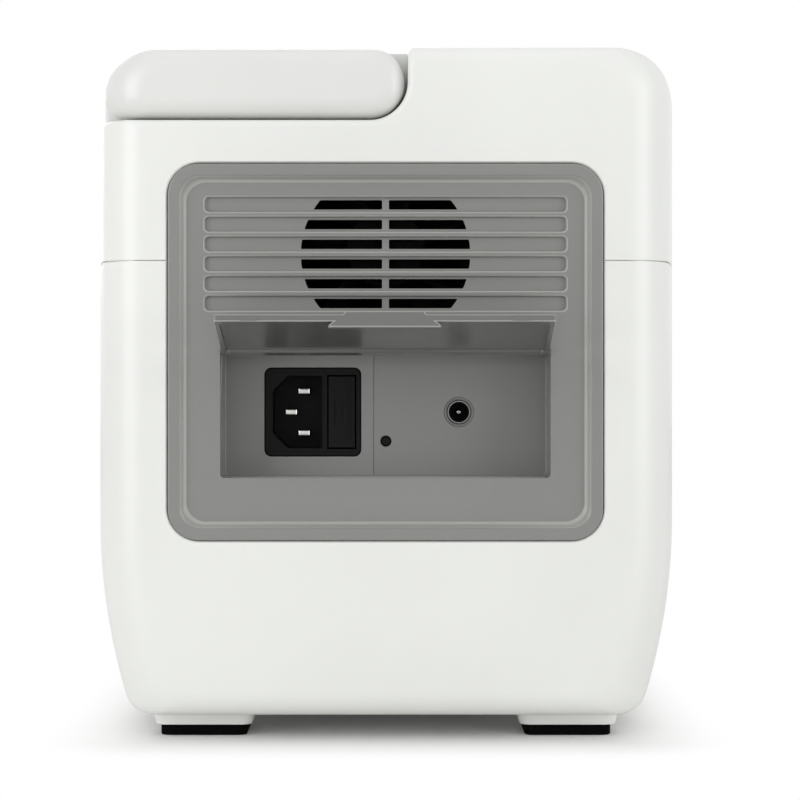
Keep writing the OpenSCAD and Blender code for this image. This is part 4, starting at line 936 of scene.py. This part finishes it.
# The flap's second material is a paler grey: a painted highlight along its rounded rims and the
# catch's edges.
bay_flap.data.materials.append(plastic("flap_painted_edge_highlight", (0.34, 0.34, 0.33), roughness=0.3,
                                       depth=0.006))
soften(bay_flap, 0.22 * MM, 2, 35)
stand_in(bay_flap, "bay_flap")

# ---------------------------------------------------------------------------
# Mains inlet. A black moulded unit turned a quarter turn: a three-pin socket
# with two cut corners beside a fuse drawer, inside a raised border.
# ---------------------------------------------------------------------------
FACE_Y = BAY_FLOOR_Y - 0.8 * MM
INLET_DEPTH, SOCKET_W, SOCKET_H, SOCKET_DEPTH = 24 * MM, 16.4 * MM, 24.2 * MM, 16 * MM
SOCKET_X, DRAWER_X = CONNECTOR_X + 5.2 * MM, CONNECTOR_X - 9.6 * MM
DRAWER_W, DRAWER_H, DRAWER_DEPTH, DRAWER_GAP = 9 * MM, 24 * MM, 20 * MM, 0.35 * MM
BORDER = 0.5 * MM


def socket_ring(grow):
    """The socket's outline: two corners are cut off on its +X side."""
    w, h, cut = SOCKET_W / 2 + grow, SOCKET_H / 2 + grow, 5 * MM + grow * 0.6
    return [(SOCKET_X + x, CONNECTOR_Z + z) for x, z in
            ((-w, -h), (w - cut, -h), (w, -h + cut), (w, h - cut), (w - cut, h), (-w, h))]


inlet_body = solid_plate(INLET_W, INLET_H, 2.4 * MM, FACE_Y - INLET_DEPTH, FACE_Y,
                         (CONNECTOR_X, CONNECTOR_Z), 6)
round_edges(inlet_body, edges_where(inlet_body, lambda p: p.y > FACE_Y - 1e-6), 0.3 * MM)
inlet_back = solid_plate(INLET_W + 3.2 * MM, INLET_H + 3.2 * MM, 3 * MM,
                         BAY_FLOOR_Y - BAY_FLOOR_T - 1.5 * MM, BAY_FLOOR_Y - BAY_FLOOR_T,
                         (CONNECTOR_X, CONNECTOR_Z))
border_cut = solid_plate(INLET_W - 2.6 * MM, INLET_H - 2.6 * MM, 1.6 * MM, FACE_Y - BORDER,
                         FACE_Y + 2 * MM, (CONNECTOR_X, CONNECTOR_Z), 5)
round_edges(border_cut, edges_where(border_cut, lambda p: p.y < FACE_Y), 0.25 * MM)
socket_cut = prism(socket_ring(0), FACE_Y - SOCKET_DEPTH, FACE_Y + 2 * MM)
round_edges(socket_cut, edges_along_y(socket_cut), 0.8 * MM, 3)
socket_lip = prism(socket_ring(0.35 * MM), FACE_Y - BORDER - 0.35 * MM, FACE_Y + 2 * MM)
drawer_cut = slot_bar(DRAWER_X, FACE_Y - DRAWER_DEPTH / 2 + 1 * MM, CONNECTOR_Z,
                      DRAWER_W + 2 * DRAWER_GAP, DRAWER_DEPTH + 2 * DRAWER_GAP + 2 * MM,
                      DRAWER_H + 2 * DRAWER_GAP)
black_plastic = plastic("black_plastic", (0.004, 0.004, 0.0042), roughness=0.5, grain=1400,
                        depth=0.06, shine=0.16)
inlet_shape = carved(inlet_body, border_cut, socket_lip, socket_cut, drawer_cut,
                     join=(inlet_back,))
mains_inlet = settle("mains_inlet_body", inlet_shape, "case", black_plastic)
stand_in(mains_inlet, "mains_inlet")

# Blades. Three flat plated pins, each with a chamfered tip, standing in the socket's floor.
BLADES = ((-2.1 * MM, 7 * MM, 0), (-2.1 * MM, -7 * MM, 0), (2.1 * MM, 0, 1 * MM))


def metal(name, colour, roughness=0.3, brushed=(1, 1, 1), grain=260, depth=0.01, shine=1.0):
    """Bare or plated metal with fine tool marks; brushed stretches them."""
    material, tree, out = new_material(name)
    shader = add_node(tree, "BsdfPrincipled", Metallic=shine)
    coords = add_node(tree, "TexCoord")
    stretch = add_node(tree, "Mapping", Scale=brushed)
    marks = add_node(tree, "TexNoise", Scale=grain, Detail=5)
    tone = add_node(tree, "ValToRGB")
    for end, share in zip(tone.color_ramp.elements, (0.82, 1)):
        end.color = (*[c * share for c in colour], 1)
    wire(tree, (coords.outputs["Object"], stretch.inputs["Vector"]),
         (stretch.outputs["Vector"], marks.inputs["Vector"]),
         (marks.outputs["Fac"], tone.inputs["Fac"]),
         (tone.outputs["Color"], shader.inputs["Base Color"]))
    skin(tree, out, shader, marks, roughness * 0.7, roughness * 1.3, 0.3, depth)
    return material


def blade(x, z, out_by):
    bm = slot_bar(SOCKET_X + x, (FACE_Y - SOCKET_DEPTH + FACE_Y - 3.5 * MM + out_by) / 2,
                  CONNECTOR_Z + z, 4 * MM, SOCKET_DEPTH - 3.5 * MM + out_by, 2 * MM)
    round_edges(bm, edges_where(bm, lambda p: p.y > FACE_Y - 6 * MM), 0.5 * MM)
    return bm


contact_steel = metal("contact_steel", (0.72, 0.71, 0.68), roughness=0.22, brushed=(1, 0.1, 1))
blades = settle("plated_blades", gathered([blade(*b) for b in BLADES]), "case",
                contact_steel, smooth=30)
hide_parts("inlet_blades")

# Fuse drawer. A black slide-out tray. Its face has a finger slot and fine upright grip lines.
drawer_face = slot_bar(DRAWER_X, FACE_Y - DRAWER_DEPTH / 2 - BORDER / 2, CONNECTOR_Z, DRAWER_W,
                       DRAWER_DEPTH - BORDER, DRAWER_H)
round_edges(drawer_face, edges_where(drawer_face, lambda p: p.y > FACE_Y - 2 * BORDER),
            0.35 * MM)
FUSE_R, FUSE_L = 2.5 * MM, 20 * MM
SEAT_Y = FACE_Y - DRAWER_DEPTH + 2 * MM
fuse_cut = slot_bar(DRAWER_X + DRAWER_W / 2 + 0.75 * MM, SEAT_Y + FUSE_R, CONNECTOR_Z,
                    2 * DRAWER_W - 1.5 * MM, 2 * FUSE_R, FUSE_L)
finger = slot_bar(DRAWER_X + 1 * MM, FACE_Y, CONNECTOR_Z, 3 * MM, 2.4 * MM, 8 * MM)
grip_lines = gathered([slot_bar(DRAWER_X - 3.2 * MM + i * 0.7 * MM, FACE_Y - BORDER, CONNECTOR_Z,
                                0.3 * MM, 0.36 * MM, 18 * MM) for i in range(3)]
                      + [slot_bar(DRAWER_X + 1 * MM, FACE_Y - BORDER, CONNECTOR_Z + s * 7 * MM,
                                  4.4 * MM, 0.5 * MM, 0.5 * MM) for s in (-1, 1)])
drawer = settle("fuse_drawer_tray", carved(drawer_face, fuse_cut, finger, grip_lines), "drawer",
                black_plastic)
stand_in(drawer, "fuse_drawer")

# ---------------------------------------------------------------------------
# Low-voltage jack. A black moulded body behind the bay floor holds a plated
# sleeve with a black lining, open at the mouth, and a centre pin.
# ---------------------------------------------------------------------------
JACK_R, JACK_PIN_R, JACK_DEPTH = 3.15 * MM, 1.1 * MM, 11 * MM
JACK_BACK_Y = BAY_FLOOR_Y - BAY_FLOOR_T - JACK_DEPTH
JACK_FRONT_Y = BAY_FLOOR_Y - 0.3 * MM


def turned(x, z, profile, sides=48):
    """A round piece about a line along Y; profile lists (radius, place along Y)."""
    bm = lathe([(x + r, y, z) for r, y in profile], (0, 1, 0), (x, 0, z), sides)
    bmesh.ops.dissolve_degenerate(bm, edges=bm.edges, dist=1e-8)
    bmesh.ops.recalc_face_normals(bm, faces=bm.faces)
    return bm


jack_steel = metal("jack_steel", (0.30, 0.30, 0.30), roughness=0.18, grain=700)
sleeve = settle("jack_sleeve_ring", turned(-CONNECTOR_X, CONNECTOR_Z, (
    (0, JACK_BACK_Y + 2 * MM), (JACK_SLEEVE_R - 0.02 * MM, JACK_BACK_Y + 2 * MM),
    (JACK_SLEEVE_R - 0.02 * MM, JACK_FRONT_Y - 0.25 * MM),
    (JACK_SLEEVE_R - 0.25 * MM, JACK_FRONT_Y), (JACK_R + 0.3 * MM, JACK_FRONT_Y),
    (JACK_R, JACK_FRONT_Y - 0.35 * MM),
    (JACK_R, JACK_BACK_Y + 3 * MM), (0, JACK_BACK_Y + 3 * MM))), "case",
    jack_steel, smooth=30)
stand_in(sleeve, "jack_sleeve")
settle("jack_lining", turned(-CONNECTOR_X, CONNECTOR_Z, (
    (JACK_R + 0.02 * MM, JACK_FRONT_Y - 0.5 * MM), (JACK_R - 0.12 * MM, JACK_FRONT_Y - 0.5 * MM),
    (JACK_R - 0.12 * MM, JACK_BACK_Y + 3.2 * MM), (0, JACK_BACK_Y + 3.2 * MM),
    (0, JACK_BACK_Y + 2.9 * MM), (JACK_R + 0.02 * MM, JACK_BACK_Y + 2.9 * MM),
    (JACK_R + 0.02 * MM, JACK_FRONT_Y - 0.5 * MM))), "case", black_plastic,
    smooth=30)
pin_end = BAY_FLOOR_Y - 2 * MM
pin = settle("jack_centre_pin", turned(-CONNECTOR_X, CONNECTOR_Z, (
    (0, JACK_BACK_Y + 3 * MM), (JACK_PIN_R, JACK_BACK_Y + 3 * MM),
    (JACK_PIN_R, pin_end - 0.7 * MM), (JACK_PIN_R * 0.8, pin_end - 0.3 * MM),
    (JACK_PIN_R * 0.45, pin_end - 0.05 * MM), (0, pin_end)), 32), "case",
    jack_steel, smooth=50)
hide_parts("jack_pin")
eased("jack_body", 0.3 * MM, black_plastic)
eased("reset_button", 0.25 * MM, black_plastic)

# ---------------------------------------------------------------------------
# Front panel. A grey frame like the one at the rear, holding a dark glass over
# the display, a round white power button and a USB socket.
# ---------------------------------------------------------------------------
FRONT_Y = case_low.y
GLASS_H = 96 * MM
GLASS_Z = PANEL_Z + PANEL_H / 2 - 6 * MM - GLASS_H / 2
PICTURE_W, PICTURE_H = 115 * MM, 86 * MM
eased("front_bezel", 0.5 * MM, panel_grey, segments=3)


def glass(name):
    """Display glass: a black printed border around a clear dark window."""
    material, tree, out = new_material(name)
    shader = add_node(tree, "BsdfPrincipled", Specular_IOR_Level=0.6, Coat_Weight=0.6,
                      Coat_Roughness=0.03)
    coords = add_node(tree, "TexCoord")
    split = add_node(tree, "SeparateXYZ")
    smudge = add_node(tree, "TexNoise", Scale=22)
    rough = add_node(tree, "MapRange", From_Min=0.35, To_Min=0.04, To_Max=0.13)
    wire(tree, (coords.outputs["Object"], split.inputs[0]),
         (coords.outputs["Object"], smudge.inputs["Vector"]),
         (smudge.outputs["Fac"], rough.inputs["Value"]),
         (rough.outputs["Result"], shader.inputs["Roughness"]))
    inside = []
    for axis, middle, half in (("X", 0.0, PICTURE_W / 2), ("Z", GLASS_Z, PICTURE_H / 2)):
        away = math_node(tree, "SUBTRACT", split.outputs[axis], middle)
        away = math_node(tree, "ABSOLUTE", away)
        inside.append(math_node(tree, "LESS_THAN", away, half - 1 * MM))
    window_share = math_node(tree, "MULTIPLY", inside[0], inside[1])
    tone = add_node(tree, "ValToRGB")
    tone.color_ramp.elements[0].color = (0.004, 0.004, 0.004, 1)
    tone.color_ramp.elements[1].color = (0.016, 0.019, 0.022, 1)
    wire(tree, (window_share, tone.inputs["Fac"]),
         (tone.outputs["Color"], shader.inputs["Base Color"]), (shader.outputs[0], out.inputs[0]))
    return material


eased("display_glass", 0.35 * MM, glass("display_glass"), segments=3)
dished_cap = [(r, FRONT_Y + y) for r, y in
              mm((0, 6), (6, 6), (6, -0.3), (5.85, -0.62), (5.4, -0.8), (4.6, -0.8),
                 (3.6, -0.62), (2, -0.48), (0, -0.42))]
button = settle(
    "power_button_cap", turned(48 * MM, PANEL_Z - PANEL_H / 2 + 10.5 * MM, dished_cap, 64),
    "power", plastic("switch_white_plastic", (0.74, 0.74, 0.73), roughness=0.3,
                                    coat=0.25), smooth=40)
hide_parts("power_button")
eased("usb_socket", 0.12 * MM, contact_steel)

# ---------------------------------------------------------------------------
# Heated plate and its frame, seen when the lid is open. A grey moulded liner
# surrounds a bead-blasted aluminium plate held by four screws.
# ---------------------------------------------------------------------------
liner_grey = plastic("liner_grey_plastic", (0.20, 0.20, 0.195), roughness=0.5)
eased("lid_liner", 0.3 * MM, liner_grey)
block_metal = metal("blasted_aluminium", (0.76, 0.77, 0.78), roughness=0.38, grain=900, depth=0.02)
sheet_metal = metal("plated_sheet", (0.66, 0.67, 0.68), roughness=0.32, brushed=(0.15, 1, 1))
eased("heated_plate", 0.5 * MM, block_metal, segments=3)
for steel_node, rounding in (("plate_screws", 0.12), ("lid_magnets", 0.25), ("keeper_plates", 0.2)):
    eased(steel_node, rounding * MM, contact_steel)

# ---------------------------------------------------------------------------
# Sample block. Milled and bead-blasted aluminium with eight rows of twelve
# tapered wells, each with a small chamfer, inside a grey moulded surround.
# ---------------------------------------------------------------------------
WELL_PITCH = 9 * MM
block_low, block_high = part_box("sample_block")
eased("block_surround", 0.5 * MM, liner_grey, segments=3)


def well_hole():
    """The tapered bore of one well, with a rounded floor."""
    outline = mm((0, 1), (3.65, 1), (3.65, 0.02), (3.13, -0.5), (1.55, -13.4), (1.2, -14.1),
                 (0.6, -14.45), (0, -14.5))
    return lathe([(r, 0, z) for r, z in outline], (0, 0, 1), sides=24)


wells = at_places(well_hole, [(BLOCK_X + (i - 3.5) * WELL_PITCH, MID_Y + (j - 5.5) * WELL_PITCH,
                               block_high.z) for i in range(8) for j in range(12)])
block_size = block_high - block_low
block_mid = (block_high + block_low) / 2
blank = slot_bar(*block_mid, *block_size)
round_edges(blank, blank.edges[:], 0.5 * MM, 3)
block = settle("sample_block_milled", carved(blank, wells), "case",
               block_metal, smooth=30)
stand_in(block, "sample_block")

# ---------------------------------------------------------------------------
# Fan behind the vents. A black moulded frame and a seven-bladed rotor.
# ---------------------------------------------------------------------------
fan_black = plastic("fan_black_plastic", (0.0015, 0.0015, 0.0015), roughness=0.8, grain=1200,
                    shine=0.05)
eased("fan_frame", 0.4 * MM, fan_black)
eased("fan_rotor", 0.35 * MM, fan_black)

# ---------------------------------------------------------------------------
# Cooling train. Ceramic-faced Peltier modules sit between the block and an
# extruded, anodised heat sink, which two folded sheet cradles hold up. A black
# moulded duct leads the air to the fan.
# ---------------------------------------------------------------------------


def finish(material, *names):
    """Give CAD pieces their finish through their own material slots."""
    for name in names:
        for slot in nodes[name].material_slots:
            slot.material = material


ceramic = plastic("fired_ceramic", (0.76, 0.75, 0.71), roughness=0.7, grain=2200, depth=0.008)
extruded = metal("extruded_aluminium", (0.64, 0.65, 0.67), roughness=0.42, brushed=(1, 0.04, 1),
                 grain=900)
folded_sheet = metal("folded_sheet", (0.60, 0.61, 0.62), roughness=0.36, brushed=(1, 0.1, 1),
                     grain=420)
finish(ceramic, "peltier_modules")
finish(extruded, "heat_sink")
finish(folded_sheet, "sink_cradle_front", "sink_cradle_rear", "board_bracket")
finish(black_plastic, "air_duct")

# ---------------------------------------------------------------------------
# Screws and turned fittings. Zinc-plated steel screws, threaded spacers under
# the boards, ground steel hinge pins and coiled plate springs.
# ---------------------------------------------------------------------------
zinc_plate = metal("zinc_plate", (0.68, 0.68, 0.65), roughness=0.3, grain=1500, depth=0.006)
ground_steel = metal("ground_steel", (0.60, 0.60, 0.61), roughness=0.16, brushed=(1, 0.02, 1),
                     grain=1600, depth=0.003)
spring_steel = metal("spring_steel", (0.46, 0.45, 0.44), roughness=0.26, grain=1100, depth=0.004)
finish(zinc_plate, "foot_screws", "panel_screws", "block_screws", "fan_screws", "board_spacers",
       "supply_spacers")
finish(ground_steel, "lid_hinge_pins")
finish(spring_steel, "plate_springs")

# ---------------------------------------------------------------------------
# Lid press. A pressed steel frame carries an orange silicone heater mat, which
# is bonded to the back of the heated plate.
# ---------------------------------------------------------------------------
finish(sheet_metal, "pressure_frame")
finish(plastic("silicone_mat", (0.50, 0.13, 0.02), roughness=0.62, grain=600, depth=0.04),
       "heater_mat")

# ---------------------------------------------------------------------------
# Boards and supply. Green lacquered glass-fibre boards with black packages, a
# folded supply tray with its yellow-taped parts, and the display module.
# ---------------------------------------------------------------------------


def circuit_board(name):
    """Lacquered glass-fibre board: a fine weave and paler copper areas beneath."""
    material, tree, out = new_material(name)
    shader = add_node(tree, "BsdfPrincipled", Roughness=0.28, Coat_Weight=0.4)
    coords = add_node(tree, "TexCoord")
    tracks = add_node(tree, "TexBrick", Scale=60, Color1=(0.012, 0.085, 0.03, 1),
                      Color2=(0.016, 0.11, 0.04, 1), Mortar=(0.05, 0.2, 0.09, 1), Mortar_Size=0.03)
    turn = add_node(tree, "Mapping", Rotation=(0.6, 0.5, 0.4))
    weave = add_node(tree, "TexWave", Scale=700)
    bump = add_node(tree, "Bump", Strength=0.2, Distance=0.01 * MM)
    wire(tree, (coords.outputs["Object"], turn.inputs["Vector"]),
         (coords.outputs["Object"], tracks.inputs["Vector"]),
         (turn.outputs["Vector"], weave.inputs["Vector"]),
         (tracks.outputs["Color"], shader.inputs["Base Color"]),
         (weave.outputs["Fac"], bump.inputs["Height"]),
         (bump.outputs["Normal"], shader.inputs["Normal"]), (shader.outputs[0], out.inputs[0]))
    return material


finish(circuit_board("green_board"), "main_board", "display_board")
finish(plastic("chip_package", (0.018, 0.018, 0.019), roughness=0.46, grain=2400, depth=0.01),
       "board_parts", "power_switch")
finish(folded_sheet, "supply_chassis")
finish(plastic("taped_winding", (0.46, 0.36, 0.05), roughness=0.34, grain=300, drift=0.12),
       "supply_parts")
finish(sheet_metal, "display_panel")

# ---------------------------------------------------------------------------
# Fuse. A clear glass tube, seen only with its drawer slid out.
# ---------------------------------------------------------------------------
fuse_glass, tree, out = new_material("fuse_glass")
shader = add_node(tree, "BsdfPrincipled", Base_Color=(0.86, 0.9, 0.9, 1),
                  Transmission_Weight=0.85, IOR=1.5)
coords = add_node(tree, "TexCoord")
ripple = add_node(tree, "TexNoise", Scale=240)
haze = add_node(tree, "MapRange", To_Min=0.02, To_Max=0.08)
wire(tree, (coords.outputs["Object"], ripple.inputs["Vector"]),
     (ripple.outputs["Fac"], haze.inputs["Value"]),
     (haze.outputs["Result"], shader.inputs["Roughness"]), (shader.outputs[0], out.inputs[0]))
finish(fuse_glass, "fuse")
